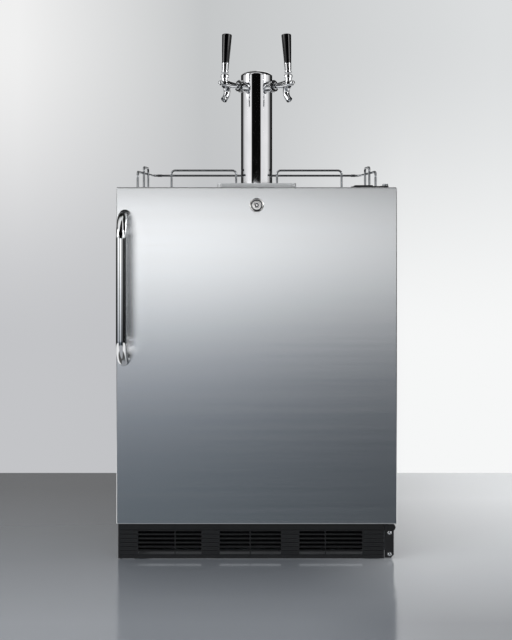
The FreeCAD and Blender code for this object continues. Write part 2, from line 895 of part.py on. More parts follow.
def base_pan():
    """The steel tray that carries the cabinet, with arms out to the kick grille and a nut for each foot."""
    half = "(Side - SheetThick)"
    arm = "(Side - ArmInset)"
    rear_outer = box(
        "PanRear", (f"-{half}", "Mouth", "PanHeight"), (half, "Back - SheetThick", "PanHeight + PanWall")
    )
    front_outer = box(
        "PanFront", (f"-{arm}", "GrilleRear", "PanHeight"), (arm, "Mouth", "PanHeight + PanWall")
    )
    rear_inner = box(
        "PanRearRoom",
        (f"PanThick - {half}", "Mouth", "PanTop"),
        (f"{half} - PanThick", "Back - SheetThick - PanThick", "CabinetHeight"),
    )
    front_inner = box(
        "PanFrontRoom",
        (f"PanThick - {arm}", "GrilleRear + PanThick", "PanTop"),
        (f"{arm} - PanThick", "Mouth", "CabinetHeight"),
    )
    vent = box(
        "PanVent",
        ("-PanVentHalf", "GrilleRear - PanThick", "PanTop"),
        ("PanVentHalf", "GrilleRear + 2 * PanThick", "CabinetHeight"),
    )
    tray = cut("PanTray", join("PanOuter", rear_outer, front_outer), rear_inner, front_inner, vent)
    nuts = [
        rod(f"PanNut_{name}", "z", (x, y, "PanTop"), "NutRadius", "NutHeight")
        for name, x, y in feet_places()
    ]
    holes = [
        rod(f"PanHole_{name}", "z", (x, y, "0"), "StemRadius + RunClear", "StemTop")
        for name, x, y in feet_places()
    ]
    keep("base_pan", cut("BasePan", join("PanWithNuts", tray, *nuts), *holes))


def levelling_feet():
    """Four screw feet."""
    for name, x, y in feet_places():
        body = new_body(f"foot_{name}")
        section = outline(
            sketch(body, "Section", "XZ"),
            ("0", "0"),
            ("FootRadius - FootRim", "0"),
            ("FootRadius", "FootRim"),
            ("FootRadius", "FootThick - FootRim"),
            ("StemRadius + FootRim", "FootThick"),
            ("StemRadius", "FootThick"),
            ("StemRadius", "StemTop"),
            ("0", "StemTop"),
        )
        turned(body, "Foot", section)
        place(body, x, y)


def kick_grille():
    """The black front grille: three louvred vents, ribs across its whole width and a return on the left."""
    body = new_body("kick_grille")
    face = sketch(body, "Face", "XZ", out="-GrilleRear")
    left = "(SheetThick - Side)"
    outline(
        face,
        (f"{left} + KickCorner", "KickLow"),
        ("KickRight", "KickLow"),
        ("KickRight", "KickHigh"),
        (left, "KickHigh"),
        (left, "KickLow + KickCorner"),
    )
    feature(body, "Pad", "Plate", face, Length="KickThick")
    side = sketch(body, "Return", "XZ", out="-Mouth")
    rectangle(side, left, "KickLow + KickCorner", f"{left} + KickThick", "KickHigh")
    feature(body, "Pad", "ReturnWall", side, Length="Mouth - GrilleRear")
    rib = sketch(body, "Rib", "XZ", out="-Grille")
    rib_low = "(SlotLow - (SlotPitch - SlotHigh) / 2 - RibHigh / 2)"
    rectangle(rib, left, rib_low, "KickRight", f"{rib_low} + RibHigh")
    ridge = feature(body, "Pad", "Ridge", rib, Length="RibProud")
    repeat(body, "Ridges", ridge, rib, "SlotRows + 1", "SlotPitch")
    slots = sketch(body, "Slots", "XZ", out="RibProud - Grille")
    for vent in ("One", "Two", "Three"):
        low, high = "SlotLow", "SlotLow + SlotHigh"
        rectangle(slots, f"Vent{vent}Left", low, f"Vent{vent}Rib - RibWide / 2", high)
        rectangle(slots, f"Vent{vent}Rib + RibWide / 2", low, f"Vent{vent}Right", high)
    row = feature(body, "Pocket", "SlotRow", slots, Length="RibProud + KickThick + 1")
    repeat(body, "SlotRows", row, slots, "SlotRows", "SlotPitch")


# ---- the hinges ----------------------------------------------------------------------------------


def lower_hinge_bracket():
    """The black bracket beside the grille, with the shelf that carries the door's pin."""
    body = new_body("lower_hinge_bracket")
    face = sketch(body, "Face", "XZ", out="-GrilleRear")
    outline(
        face,
        ("BracketLeft", "BracketLow"),
        ("BracketRight - BracketCorner", "BracketLow"),
        ("BracketRight", "BracketLow + BracketCorner"),
        ("BracketRight", "BracketHigh - BracketCorner"),
        ("BracketRight - BracketCorner", "BracketHigh"),
        ("BracketLeft", "BracketHigh"),
    )
    feature(body, "Pad", "Plate", face, Length="BracketThick")
    lobe = circle(
        sketch(body, "Lobe", "XZ", out="-GrilleRear"),
        "BracketRight - LobeRadius / 2",
        "LobeHeight",
        "LobeRadius",
    )
    feature(body, "Pad", "LobePad", lobe, Length="BracketThick + RibProud")
    plan = rectangle(
        sketch(body, "ShelfPlan", "XY", out="ShelfLow"),
        "ShelfLeft",
        "GrilleRear",
        "BracketRight",
        "GrilleRear + ShelfReach",
    )
    feature(body, "Pad", "Shelf", plan, Length="ShelfThick")
    bored(body, "PinHole", "XY", "ShelfLow", "PinX", "PinY", "PinRadius", "ShelfThick + 1")
    for name, height in (("Low", "ScrewLow"), ("High", "ScrewHigh")):
        screw = circle(
            sketch(body, f"Screw{name}", "XZ", out="-GrilleRear"), "ScrewOffset", height, "ScrewRadius"
        )
        hole = feature(body, "Pocket", f"Screw{name}Cut", screw, Length="BracketThick + 1")
        hole.Reversed = True


def lower_hinge_screws():
    """The bracket's two bright screws."""
    screws = []
    for name, height in (("Low", "ScrewLow"), ("High", "ScrewHigh")):
        head = rod(
            f"ScrewHead{name}",
            "y",
            ("ScrewOffset", "Grille - ScrewHeadHeight", height),
            "ScrewHeadRadius",
            "ScrewHeadHeight",
        )
        shank = rod(
            f"ScrewShank{name}", "y", ("ScrewOffset", "Grille", height), "ScrewRadius", "BracketThick"
        )
        screws.append(join(f"Screw{name}", head, shank))
    keep("lower_hinge_screws", join("LowerHingeScrews", *screws))


def upper_hinge_plate():
    """The plate on the worktop that reaches over the door's top, with a boss round its pin."""
    body = new_body("upper_hinge_plate")
    plan = sketch(body, "Plan", "XY", out="CabinetHeight")
    outline(
        plan,
        ("PlateLeft", "Mouth + 2"),
        ("PinX - BossRadius", "Mouth + 2"),
        ("PinX - BossRadius", "PinY"),
        ("PinX + BossRadius", "PinY"),
        ("PinX + BossRadius", "Mouth + PlateReach"),
        ("PlateLeft", "Mouth + PlateReach"),
    )
    feature(body, "Pad", "Plate", plan, Length="PlateThick")
    boss = circle(sketch(body, "Boss", "XY", out="CabinetHeight"), "PinX", "PinY", "BossRadius")
    feature(body, "Pad", "BossPad", boss, Length="PlateThick")
    bored(body, "PinHole", "XY", "CabinetHeight", "PinX", "PinY", "PinRadius", "PlateThick + 1")


def upper_hinge_hood():
    """The black cap over the plate's screws."""
    body = new_body("upper_hinge_hood")
    plan = rectangle(
        sketch(body, "Plan", "XY", out="CabinetHeight + PlateThick"),
        "HoodLeft",
        "Mouth + PlateReach - HoodDepth - 4",
        "HoodLeft + HoodWidth",
        "Mouth + PlateReach - 4",
    )
    block = feature(body, "Pad", "Block", plan, Length="HoodHeight")
    top = "CabinetHeight + PlateThick + HoodHeight"
    rounded(body, "Edges", block, "HoodHeight / 2", lambda e: lies_at(e, "z", top))


def hinge_pins():
    """The two pins that the door turns on, each with its head outside."""
    low = rod("PinLow", "z", ("PinX", "PinY", "ShelfLow"), "PinRadius", "DoorFoot + PinDepth - ShelfLow")
    low_head = rod(
        "PinLowHead", "z", ("PinX", "PinY", "ShelfLow - PinHeadHeight"), "PinHeadRadius", "PinHeadHeight"
    )
    high = rod(
        "PinHigh",
        "z",
        ("PinX", "PinY", "DoorTop - PinDepth"),
        "PinRadius",
        "PinDepth + DoorTopDrop + PlateThick",
    )
    high_head = rod(
        "PinHighHead",
        "z",
        ("PinX", "PinY", "CabinetHeight + PlateThick"),
        "PinHeadRadius",
        "PinHeadHeight",
    )
    keep(
        "hinge_pins",
        join("HingePins", join("LowerPin", low, low_head), join("UpperPin", high, high_head)),
    )


# ---- the door ------------------------------------------------------------------------------------

DOOR_HALF = "(DoorWidth / 2)"


def door_skin():
    """The brushed steel wrap: a shallow pan with bent edges, open to the back."""
    body = new_body("door_skin")
    outer = sketch(body, "Outer", "XZ", out="DoorLinerThick - DoorRear")
    rectangle(outer, f"-{DOOR_HALF}", "DoorFoot", DOOR_HALF, "DoorTop")
    block = feature(body, "Pad", "Block", outer, Length="DoorThick - DoorLinerThick")
    bends = rounded(
        body,
        "Bends",
        block,
        "SkinBend",
        lambda e: lies_at(e, "y", "Front") and runs_along(e, "z"),
    )
    body.Tip = bends
    inner = sketch(body, "Inner", "XZ", out="DoorLinerThick - DoorRear")
    rectangle(
        inner,
        f"SkinThick - {DOOR_HALF}",
        "DoorFoot + SkinThick",
        f"{DOOR_HALF} - SkinThick",
        "DoorTop - SkinThick",
    )
    feature(
        body, "Pocket", "Room", inner, Length="DoorThick - DoorLinerThick - SkinThick"
    ).Reversed = True
    lock = circle(sketch(body, "LockHole", "XZ", out="-Front"), "0", "LockHeight", "LockRadius")
    feature(body, "Pocket", "LockCut", lock, Length="2 * SkinThick")
    bored(body, "LowBush", "XY", "DoorFoot", "PinX", "PinY", "BushRadius", "SkinThick")
    bored(body, "HighBush", "XY", "DoorTop - SkinThick", "PinX", "PinY", "BushRadius", "2 * SkinThick")


def door_foam():
    """The door's insulation, which fills the skin behind the lock and round the bushings."""
    half = f"({DOOR_HALF} - SkinThick - FoamGap)"
    block = box(
        "DoorFoamBlock",
        (f"-{half}", "Front + SkinThick", "DoorFoot + SkinThick"),
        (half, "DoorRear - DoorLinerThick", "DoorTop - SkinThick"),
    )
    lock = rod("DoorFoamLock", "y", ("0", "Front", "LockHeight"), "LockRadius", "DoorThick")
    low = rod("DoorFoamLow", "z", ("PinX", "PinY", "DoorFoot"), "BushRadius", "BushDepth")
    high = rod("DoorFoamHigh", "z", ("PinX", "PinY", "DoorTop - BushDepth"), "BushRadius", "BushDepth")
    keep("door_foam", cut("DoorFoam", block, lock, low, high))


def door_liner():
    """The door's moulded inner face, with a raised panel and bevelled edges."""
    body = new_body("door_liner")
    plate = sketch(body, "Plate", "XZ", out="-DoorRear")
    rectangle(plate, f"-{DOOR_HALF}", "DoorFoot", DOOR_HALF, "DoorTop")
    circle(plate, "0", "LockHeight", "LockRadius")
    slab = feature(body, "Pad", "Slab", plate, Length="DoorLinerThick")
    rounded(
        body,
        "Edges",
        slab,
        "DoorRearEdge",
        lambda e: lies_at(e, "y", "DoorRear") and (runs_along(e, "x") or runs_along(e, "z")),
        kind="Chamfer",
        prop="Size",
    )
    panel = sketch(body, "Panel", "XZ", out="-DoorRear - PanelProud")
    rectangle(panel, "-PanelSide", "PanelLow", "PanelSide", "PanelHigh")
    raised = feature(body, "Pad", "Raised", panel, Length="PanelProud")
    rounded(
        body,
        "PanelEdges",
        raised,
        "PanelProud - 1",
        lambda e: lies_at(e, "y", "DoorRear + PanelProud"),
        kind="Chamfer",
        prop="Size",
    )


def door_gasket():
    """The magnetic seal round the door's inner face."""
    body = new_body("door_gasket")
    ring = sketch(body, "Ring", "XZ", out="GasketRest - Mouth")
    rectangle(ring, "-GasketOut", "GasketLow", "GasketOut", "GasketHigh")
    rectangle(
        ring,
        "GasketWide - GasketOut",
        "GasketLow + GasketWide",
        "GasketOut - GasketWide",
        "GasketHigh - GasketWide",
    )
    feature(body, "Pad", "Seal", ring, Length="GasketGap - GasketRest")


def hinge_bushings():
    """The door's two plastic bushings, one at each end."""
    bushings = []
    for name, low in (("Low", "DoorFoot"), ("High", "DoorTop - BushDepth")):
        sleeve = rod(f"Bush{name}", "z", ("PinX", "PinY", low), "BushRadius", "BushDepth")
        bore_low = low if name == "Low" else "DoorTop - PinDepth - 1"
        bore = rod(
            f"BushBore{name}", "z", ("PinX", "PinY", bore_low), "PinRadius + RunClear", "PinDepth + 1"
        )
        bushings.append(cut(f"Bushing{name}", sleeve, bore))
    keep("hinge_bushings", join("HingeBushings", *bushings))


def towel_handle():
    """The curved chrome bar: a tube with both ends bent back into the door."""
    body = new_body("towel_handle")
    path = sketch(body, "Path", "YZ")
    arch(
        path,
        "Front",
        "Front + HandleRadius - HandleReach",
        "HandleLow",
        "HandleHigh",
        "HandleBend",
        False,
    )
    section = sketch(body, "Section", "XZ", out="-Front")
    circle(section, "0", "HandleLow", "HandleRadius")
    circle(section, "0", "HandleLow", "HandleRadius - HandleWall")
    swept(body, "Tube", section, path, 5)
    place(body, "HandleX")


# ---- the lock ------------------------------------------------------------------------------------


def lock_body():
    """The lock's bezel and barrel, through the whole door."""
    body = new_body("lock_body")
    section = outline(
        sketch(body, "Section", "YZ", y="LockHeight"),
        ("Front - BezelHeight", "PlugRadius + RunClear"),
        ("Front - BezelHeight", "BezelRadius - BezelEdge"),
        ("Front - BezelHeight + BezelEdge", "BezelRadius"),
        ("Front", "BezelRadius"),
        ("Front", "LockRadius"),
        ("DoorRear", "LockRadius"),
        ("DoorRear", "PlugRadius + RunClear"),
    )
    turned(body, "Barrel", section, axis="H_Axis")


def lock_plug():
    """The plug that the key turns, with the keyway in its face."""
    face = "(Front - BezelHeight + PlugSink)"
    plug = rod("PlugRod", "y", ("0", face, "LockHeight"), "PlugRadius", f"CamFront - {face}")
    tail = rod("PlugTailRod", "y", ("0", "CamFront", "LockHeight"), "PlugTail", "CamThick")
    keyway = box(
        "PlugKeyway",
        ("-KeyWide / 2", f"{face} - 1", "LockHeight - KeyTall / 2"),
        ("KeyWide / 2", f"{face} + KeyDeep", "LockHeight + KeyTall / 2"),
    )
    keep("lock_plug", cut("LockPlug", join("PlugWhole", plug, tail), keyway))


def lock_cam():
    """The cam on the plug's tail. It hangs down when unlocked, and its tip swings up behind the keeper."""
    body = new_body("lock_cam")
    face = sketch(body, "Face", "XZ", out="-CamFront - CamThick")
    half = "CamWide / 2"
    outline(
        face,
        (f"-{half}", f"LockHeight + {half}"),
        (f"-{half}", "LockHeight - CamLength + 2"),
        (f"2 - {half}", "LockHeight - CamLength"),
        (f"{half} - 2", "LockHeight - CamLength"),
        (half, "LockHeight - CamLength + 2"),
        (half, f"LockHeight + {half}"),
    )
    circle(face, "0", "LockHeight", "PlugTail")
    feature(body, "Pad", "Blade", face, Length="CamThick")


def lock_keeper():
    """The small channel on the cabinet's front flange that the cam swings up into."""
    outer = box(
        "KeeperOuter",
        ("KeeperLeft", "Mouth - KeeperDeep", "KeeperLow"),
        ("KeeperRight", "Mouth", "KeeperHigh"),
    )
    channel = box(
        "KeeperChannel",
        ("KeeperLeft - 1", "Mouth - KeeperDeep + KeeperThick", "KeeperLow - 1"),
        ("KeeperRight + 1", "Mouth - KeeperThick", "KeeperHigh - KeeperThick"),
    )
    keep("lock_keeper", cut("LockKeeper", outer, channel))


# ---- the draught column --------------------------------------------------------------------------


def faucet_turn(thing, side):
    """Turns and moves a piece drawn along +X onto one faucet's line."""
    thing.Placement = Placement(Vector(), Rotation(Vector(0, 0, 1), 1))
    angle = "FaucetSplay - 90" if side == "right" else "-90 - FaucetSplay"
    thing.setExpression(".Placement.Rotation.Angle", formula(angle))
    place(thing, "0", "ColumnY", "CabinetHeight + FaucetHeight")


def faucet_rod(name, side, start, radius, length):
    """A round bar along one faucet's line, in the column's own frame."""
    body = doc.addObject("PartDesign::Body", name)
    drawing = circle(sketch(body, "End", "YZ", out=start), "0", "0", radius)
    feature(body, "Pad", "Bar", drawing, Length=length)
    faucet_turn(body, side)
    return body


def column_tube():
    """The polished tube, with a hole for each shank."""
    outer = rod("TubeOuter", "z", ("0", "ColumnY", "FlangeTop"), "ColumnRadius", "ColumnTop - FlangeTop")
    inner = rod(
        "TubeInner", "z", ("0", "ColumnY", "CabinetHeight"), "ColumnInner", "ColumnHeight + CapRise"
    )
    holes = [
        faucet_rod(f"TubeHole_{side}", side, "ShankInner", "ShankRadius + SaddleClear", "SaddleEnd")
        for side in SIDES
    ]
    keep("column_tube", cut("ColumnTube", outer, inner, *holes))


def column_cap():
    """The domed cap, with a skirt that fits inside the tube."""
    body = new_body("column_cap")
    rim = "ColumnTop + CapRim"
    drawing = sketch(body, "Section", "XZ")
    crown = "ColumnTop + CapRise"
    corners = (
        ("0", "ColumnTop"),
        ("ColumnInner - ColumnWall - CapClear", "ColumnTop"),
        ("ColumnInner - ColumnWall - CapClear", "ColumnTop - CapSkirt"),
        ("ColumnInner - CapClear", "ColumnTop - CapSkirt"),
        ("ColumnInner - CapClear", "ColumnTop"),
        ("ColumnRadius", "ColumnTop"),
        ("ColumnRadius", rim),
        ("ColumnRadius * 0.93", f"{rim} + (CapRise - CapRim) * 0.34"),
        ("ColumnRadius * 0.72", f"{rim} + (CapRise - CapRim) * 0.68"),
        ("ColumnRadius * 0.4", f"{rim} + (CapRise - CapRim) * 0.92"),
        ("0", crown),
    )
    outline(drawing, *corners)
    turned(body, "Dome", drawing)
    place(body, "0", "ColumnY")


def column_base():
    """The flange that carries the column, with a collar inside the tube and four screw holes."""
    plate = rod("BasePlate", "z", ("0", "ColumnY", "CabinetHeight"), "FlangeRadius", "FlangeThick")
    collar = rod(
        "BaseCollar", "z", ("0", "ColumnY", "FlangeTop"), "ColumnInner - CapClear", "CollarHeight"
    )
    bore = rod("BaseBore", "z", ("0", "ColumnY", "PanelUnder"), "ColumnBore", "ColumnHeight")
    keep("column_base", cut("ColumnBase", join("BaseWhole", plate, collar), bore))


def column_lagging():
    """The insulation sleeve inside the column."""
    low = "FlangeTop + CollarHeight + LaggingClear"
    high = "CabinetHeight + FaucetHeight - ShankRadius - LaggingClear - 4"
    outer = rod(
        "LaggingOuter", "z", ("0", "ColumnY", low), "ColumnInner - LaggingClear", f"{high} - ({low})"
    )
    bore = rod("LaggingBoreRod", "z", ("0", "ColumnY", "CabinetHeight"), "LaggingBore", "ColumnHeight")
    keep("column_lagging", cut("ColumnLagging", outer, bore))


def beer_lines():
    """Two steel lines, each from the manifold under the worktop up to its shank."""
    lines = []
    axis = spot("0", "ColumnY", "CabinetHeight + FaucetHeight")
    way = math.radians(value("FaucetSplay"))
    for sign in SIDES.values():
        toward = Vector(sign * math.sin(way), -math.cos(way), 0)
        elbow = axis + toward * value("LineSet")
        foot = Vector(elbow.x, elbow.y, value("RoomTop"))
        end = axis + toward * value("ShankInner")
        lines.append(bar_along([foot, elbow, end], value("LineBend"), value("LineRadius")))
    solid("beer_lines", Part.makeCompound(lines))


def line_manifold():
    """The block under the room's ceiling that the keg lines screw onto from below."""
    low = "RoomTop - ManifoldThick"
    block = rod("ManifoldBlock", "z", ("0", "ColumnY", low), "ManifoldRadius", "ManifoldThick")
    rim = rod(
        "ManifoldRim", "z", ("0", "ColumnY", "RoomTop - 2 * LinerThick"), "ManifoldRim", "2 * LinerThick"
    )
    barbs = [
        rod(
            f"ManifoldBarb_{side}",
            "z",
            (f"{sign} * BarbSpread", "ColumnY", f"{low} - BarbLength"),
            "BarbRadius",
            "BarbLength + 1",
        )
        for side, sign in SIDES.items()
    ]
    keep("line_manifold", join("LineManifold", block, rim, *barbs))


# ---- the faucets ---------------------------------------------------------------------------------


def faucet_shanks():
    """Each shank runs from inside the column through its saddle collar into the coupling nut."""
    shanks = []
    for side in SIDES:
        shank = faucet_rod(f"ShankRod_{side}", side, "ShankInner", "ShankRadius", "SaddleStart")
        neck = faucet_rod(
            f"ShankNeck_{side}", side, "ShankInner", "NutLip - RunClear", "NutEnd - 4 - ShankInner"
        )
        saddle = faucet_rod(
            f"Saddle_{side}", side, "SaddleStart", "SaddleRadius", "SaddleEnd - SaddleStart"
        )
        bore = faucet_rod(f"ShankBoreRod_{side}", side, "ShankInner - 1", "ShankBore", "NutEnd")
        column = rod(
            f"SaddleSeat_{side}",
            "z",
            ("0", "ColumnY", "FlangeTop"),
            "ColumnRadius + SaddleClear",
            "ColumnHeight",
        )
        seated = cut(f"SaddleCut_{side}", saddle, column)
        shanks.append(cut(f"Shank_{side}", join(f"ShankWhole_{side}", shank, neck, seated), bore))
    keep("faucet_shanks", join("FaucetShanks", *shanks))


def coupling_nuts():
    """The round slotted nut that draws each faucet onto its shank."""
    nuts = []
    for side in SIDES:
        body = doc.addObject("PartDesign::Body", f"Nut_{side}")
        section = outline(
            sketch(body, "Section", "XZ"),
            ("NutStart", "NutLip"),
            ("NutStart", "NutOuter - 1.5"),
            ("NutStart + 1.5", "NutOuter"),
            ("NutEnd - 5", "NutOuter"),
            ("NutEnd", "NutLip + 1.5"),
            ("NutEnd", "NutLip"),
        )
        turned(body, "Turn", section, axis="H_Axis")
        faucet_turn(body, side)
        nuts.append(body)
    keep("coupling_nuts", join("CouplingNuts", *nuts))


def faucet_body(side):
    """One faucet: a tapering body on the shank, a round nose, a neck for the bonnet and a curved spout."""
    body = new_body(f"faucet_body_{side}")
    profile = outline(
        sketch(body, "Profile", "XZ"),
        ("NutEnd - 4", "0"),
        ("NutEnd - 4", "NutLip - RunClear"),
        ("NutEnd", "NutLip - RunClear"),
        ("NutEnd + 2", "BodyThroat"),
        ("NutEnd + 8", "BodyThroat + 0.4"),
        ("LeverReach - 9", "BodySwell"),
        ("LeverReach + 3", "BodySwell"),
        ("NoseReach - NoseRadius * 0.75", "NoseRadius * 0.72"),
        ("NoseReach - NoseRadius * 0.4", "NoseRadius * 0.94"),
        ("NoseReach", "NoseRadius"),
        ("NoseReach + NoseRadius * 0.6", "NoseRadius * 0.8"),
        ("NoseReach + NoseRadius * 0.92", "NoseRadius * 0.39"),
        ("NoseReach + NoseRadius", "0"),
    )
    turned(body, "Barrel", profile, axis="H_Axis")
    neck = circle(sketch(body, "Neck", "XY"), "LeverReach", "0", "NeckRadius")
    feature(body, "Pad", "NeckPad", neck, Length="NeckTop")
    path = sketch(body, "SpoutPath", "XZ")
    ends = [Vector(value(x), value(z), 0) for x, z in SPOUT]
    path.addGeometry(Part.Arc(*ends), False)
    for end in (1, 2):
        near = min(
            SPOUT,
            key=lambda p: path.getPoint(0, end).distanceToPoint(Vector(value(p[0]), value(p[1]), 0)),
        )
        pin_point(path, 0, end, *near)
    row = path.addConstraint(Sketcher.Constraint("Radius", 0, path.Geometry[0].Radius))
    path.setExpression(f"Constraints[{row}]", formula(spout_radius()))
    section = sketch(body, "SpoutSection", "XY")
    circle(section, SPOUT[0][0], "0", "SpoutRadius")
    swept(body, "Spout", section, path, 1)
    slot = outline(
        sketch(body, "Slot", "XZ"),
        ("SlotInner", "-BoreRadius"),
        ("SlotOuter", "-BoreRadius"),
        ("SlotOuter", "NeckTop + 1"),
        ("SlotTopInner", "NeckTop + 1"),
        ("SlotInner", "BoreRadius"),
    )
    feature(body, "Pocket", "SlotCut", slot, Length="2 * SlotHalf").Midplane = True
    bore = circle(sketch(body, "Bore", "YZ", out="NutEnd - 5"), "0", "0", "BoreRadius")
    feature(body, "Pocket", "BoreCut", bore, Length="PlungerOuter + 1.5 - NutEnd + 5").Reversed = True
    lean = f"atan(({SPOUT[2][0]} - ({SPOUT[0][0]})) / SpoutTipDrop)"
    back = f"{lean} + asin({spout_chord()} / 2 / ({spout_radius()}))"
    mouth = sketch(body, "Mouth", "XZ", x=SPOUT[2][0], y=SPOUT[2][1], turn=back)
    rectangle(mouth, "0", "-1", "SpoutBore", "SpoutBoreDepth")
    turned(body, "MouthBore", mouth, kind="Groove")
    faucet_turn(body, side)
    return body


SPOUT = (
    ("LeverReach - 1.5", "0"), ("SpoutMidReach", "-SpoutMidDrop"), ("SpoutTipReach", "-SpoutTipDrop")
)


def spout_chord():
    """The straight length between the spout path's two ends, as a formula."""
    (ax, ay), (cx, cy) = SPOUT[0], SPOUT[2]
    return f"sqrt(({cx} - ({ax}))^2 + (({cy}) - ({ay}))^2)"


def spout_radius():
    """The radius of the arc through the spout path's three points, as a formula."""
    ax, ay = (f"({text})" for text in SPOUT[0])
    bx, by = (f"({text})" for text in SPOUT[1])
    cx, cy = (f"({text})" for text in SPOUT[2])
    one = f"sqrt(({bx} - {ax})^2 + ({by} - {ay})^2)"
    two = f"sqrt(({cx} - {bx})^2 + ({cy} - {by})^2)"
    three = f"sqrt(({cx} - {ax})^2 + ({cy} - {ay})^2)"
    area = f"abs(({bx} - {ax}) * ({cy} - {ay}) - ({cx} - {ax}) * ({by} - {ay}))"
    return f"({one} * {two} * {three}) / (2 * {area})"


def bonnets():
    """The round cap over each lever's ball."""
    bonnets_made = []
    for side in SIDES:
        body = doc.addObject("PartDesign::Body", f"Bonnet_{side}")
        drawing = sketch(body, "Section", "XZ", x="LeverReach")
        outline(
            drawing,
            ("BallRadius + BallClear", "BonnetLow"),
            ("BonnetRadius - 1.2", "BonnetLow"),
            ("BonnetRadius", "BonnetLow + 1.2"),
            ("BonnetRadius", "BonnetLow + BonnetBand"),
            ("BonnetRadius - 1.2", "BonnetHigh - 1.8"),
            ("BonnetMouth + 1", "BonnetHigh"),
            ("BonnetMouth", "BonnetHigh"),
            ("BallRadius + BallClear", "BallRise + 1"),
        )
        turned(body, "Cap", drawing)
        faucet_turn(body, side)
        bonnets_made.append(body)
    keep("bonnets", join("Bonnets", *bonnets_made))


def lever(side):
    """The lever: ball, tail, neck, collar, stud and the ferrule under the tap handle."""
    body = new_body(f"lever_{side}")
    drawing = sketch(body, "Section", "XZ", x="LeverReach", y="BallRise", turn="LeverLean")
    outline(
        drawing,
        ("0", "-TailLength"),
        ("TailRadius", "-TailLength"),
        ("TailRadius", "-BallRadius * 0.91"),
        ("BallRadius * 0.76", "-BallRadius * 0.65"),
        ("BallRadius", "0"),
        ("BallRadius * 0.79", "BallRadius * 0.61"),
        ("LeverNeck", "BallRadius * 0.8"),
        ("LeverNeck", "CollarStart"),
        ("CollarRadius - 1", "CollarStart"),
        ("CollarRadius", "CollarStart + 1"),
        ("CollarRadius", "CollarStart + CollarThick - 1"),
        ("CollarRadius - 1", "CollarStart + CollarThick"),
        ("FerruleLow - 1", "CollarStart + CollarThick"),
        ("FerruleLow - 1", "FerruleStart"),
        ("FerruleLow", "FerruleStart"),
        ("FerruleHigh", "FerruleEnd"),
        ("StudRadius", "FerruleEnd"),
        ("StudRadius", "CollarStart + StudLength"),
        ("0", "CollarStart + StudLength"),
    )
    turned(body, "Turn", drawing)
    faucet_turn(body, side)


def tap_handle(side):
    """The black tap handle on the lever's stud."""
    body = new_body(f"tap_handle_{side}")
    drawing = sketch(body, "Section", "XZ", x="LeverReach", y="BallRise", turn="LeverLean")
    outline(
        drawing,
        ("StudRadius", "FerruleEnd"),
        ("GripLow", "FerruleEnd"),
        ("GripHigh", "GripEnd - GripCrown"),
        ("GripHigh - 0.7", "GripEnd - GripCrown * 0.3"),
        ("GripHigh - GripCrown", "GripEnd"),
        ("0", "GripEnd"),
        ("0", "CollarStart + StudLength + 0.5"),
        ("StudRadius", "CollarStart + StudLength + 0.5"),
    )
    turned(body, "Turn", drawing)
    faucet_turn(body, side)


def plunger(side):
    """The shaft that the lever's tail slides inside the body to open the faucet."""
    body = new_body(f"plunger_{side}")
    end = circle(sketch(body, "End", "YZ", out="PlungerInner"), "0", "0", "PlungerRadius")
    feature(body, "Pad", "Shaft", end, Length="PlungerOuter - PlungerInner")
    middle = "(LeverReach + TailLength * sin(LeverLean))"
    slot = rectangle(
        sketch(body, "Slot", "XY", out="-1"),
        f"{middle} - PlungerSlot / 2",
        "-PlungerRadius",
        f"{middle} + PlungerSlot / 2",
        "PlungerRadius",
    )
    feature(body, "Pocket", "SlotCut", slot, Length="PlungerRadius + 2").Reversed = True
    faucet_turn(body, side)


# ---- the drip tray -------------------------------------------------------------------------------


def drip_tray():
    """A low tray with rounded corners, and studs inside that carry the grate."""
    body = new_body("drip_tray")
    half = "TrayWidth / 2"
    plan = rectangle(
        sketch(body, "Plan", "XY", out="CabinetHeight"), f"-{half}", "TrayFrontY", half, "TrayRearY"
    )
    feature(body, "Pad", "Block", plan, Length="TrayHeight")
    inside = f"({half} - TrayWall)"
    well = rectangle(
        sketch(body, "Well", "XY", out="CabinetHeight + TrayWall"),
        f"-{inside}",
        "TrayFrontY + TrayWall",
        inside,
        "TrayRearY - TrayWall",
    )
    hollow = feature(body, "Pocket", "WellCut", well, Length="TrayHeight")
    hollow.Reversed = True
    inner = rounded(
        body,
        "WellCorners",
        hollow,
        "TrayCorner - TrayWall",
        lambda e: runs_along(e, "z") and any(lies_at(e, "x", text) for text in (inside, f"-{inside}")),
    )
    body.Tip = inner
    outer = rounded(
        body,
        "Corners",
        inner,
        "TrayCorner",
        lambda e: runs_along(e, "z") and any(lies_at(e, "x", text) for text in (half, f"-{half}")),
    )
    body.Tip = outer
    studs = sketch(body, "Studs", "XY", out="CabinetHeight + TrayWall")
    for x in ("TrayCorner + 4 - TrayWidth / 2", "TrayWidth / 2 - TrayCorner - 4"):
        for y in ("TrayFrontY + TrayCorner + 4", "TrayRearY - TrayCorner - 4"):
            circle(studs, x, y, "TrayStud")
    feature(body, "Pad", "StudPads", studs, Length="GrateLow - CabinetHeight - TrayWall")


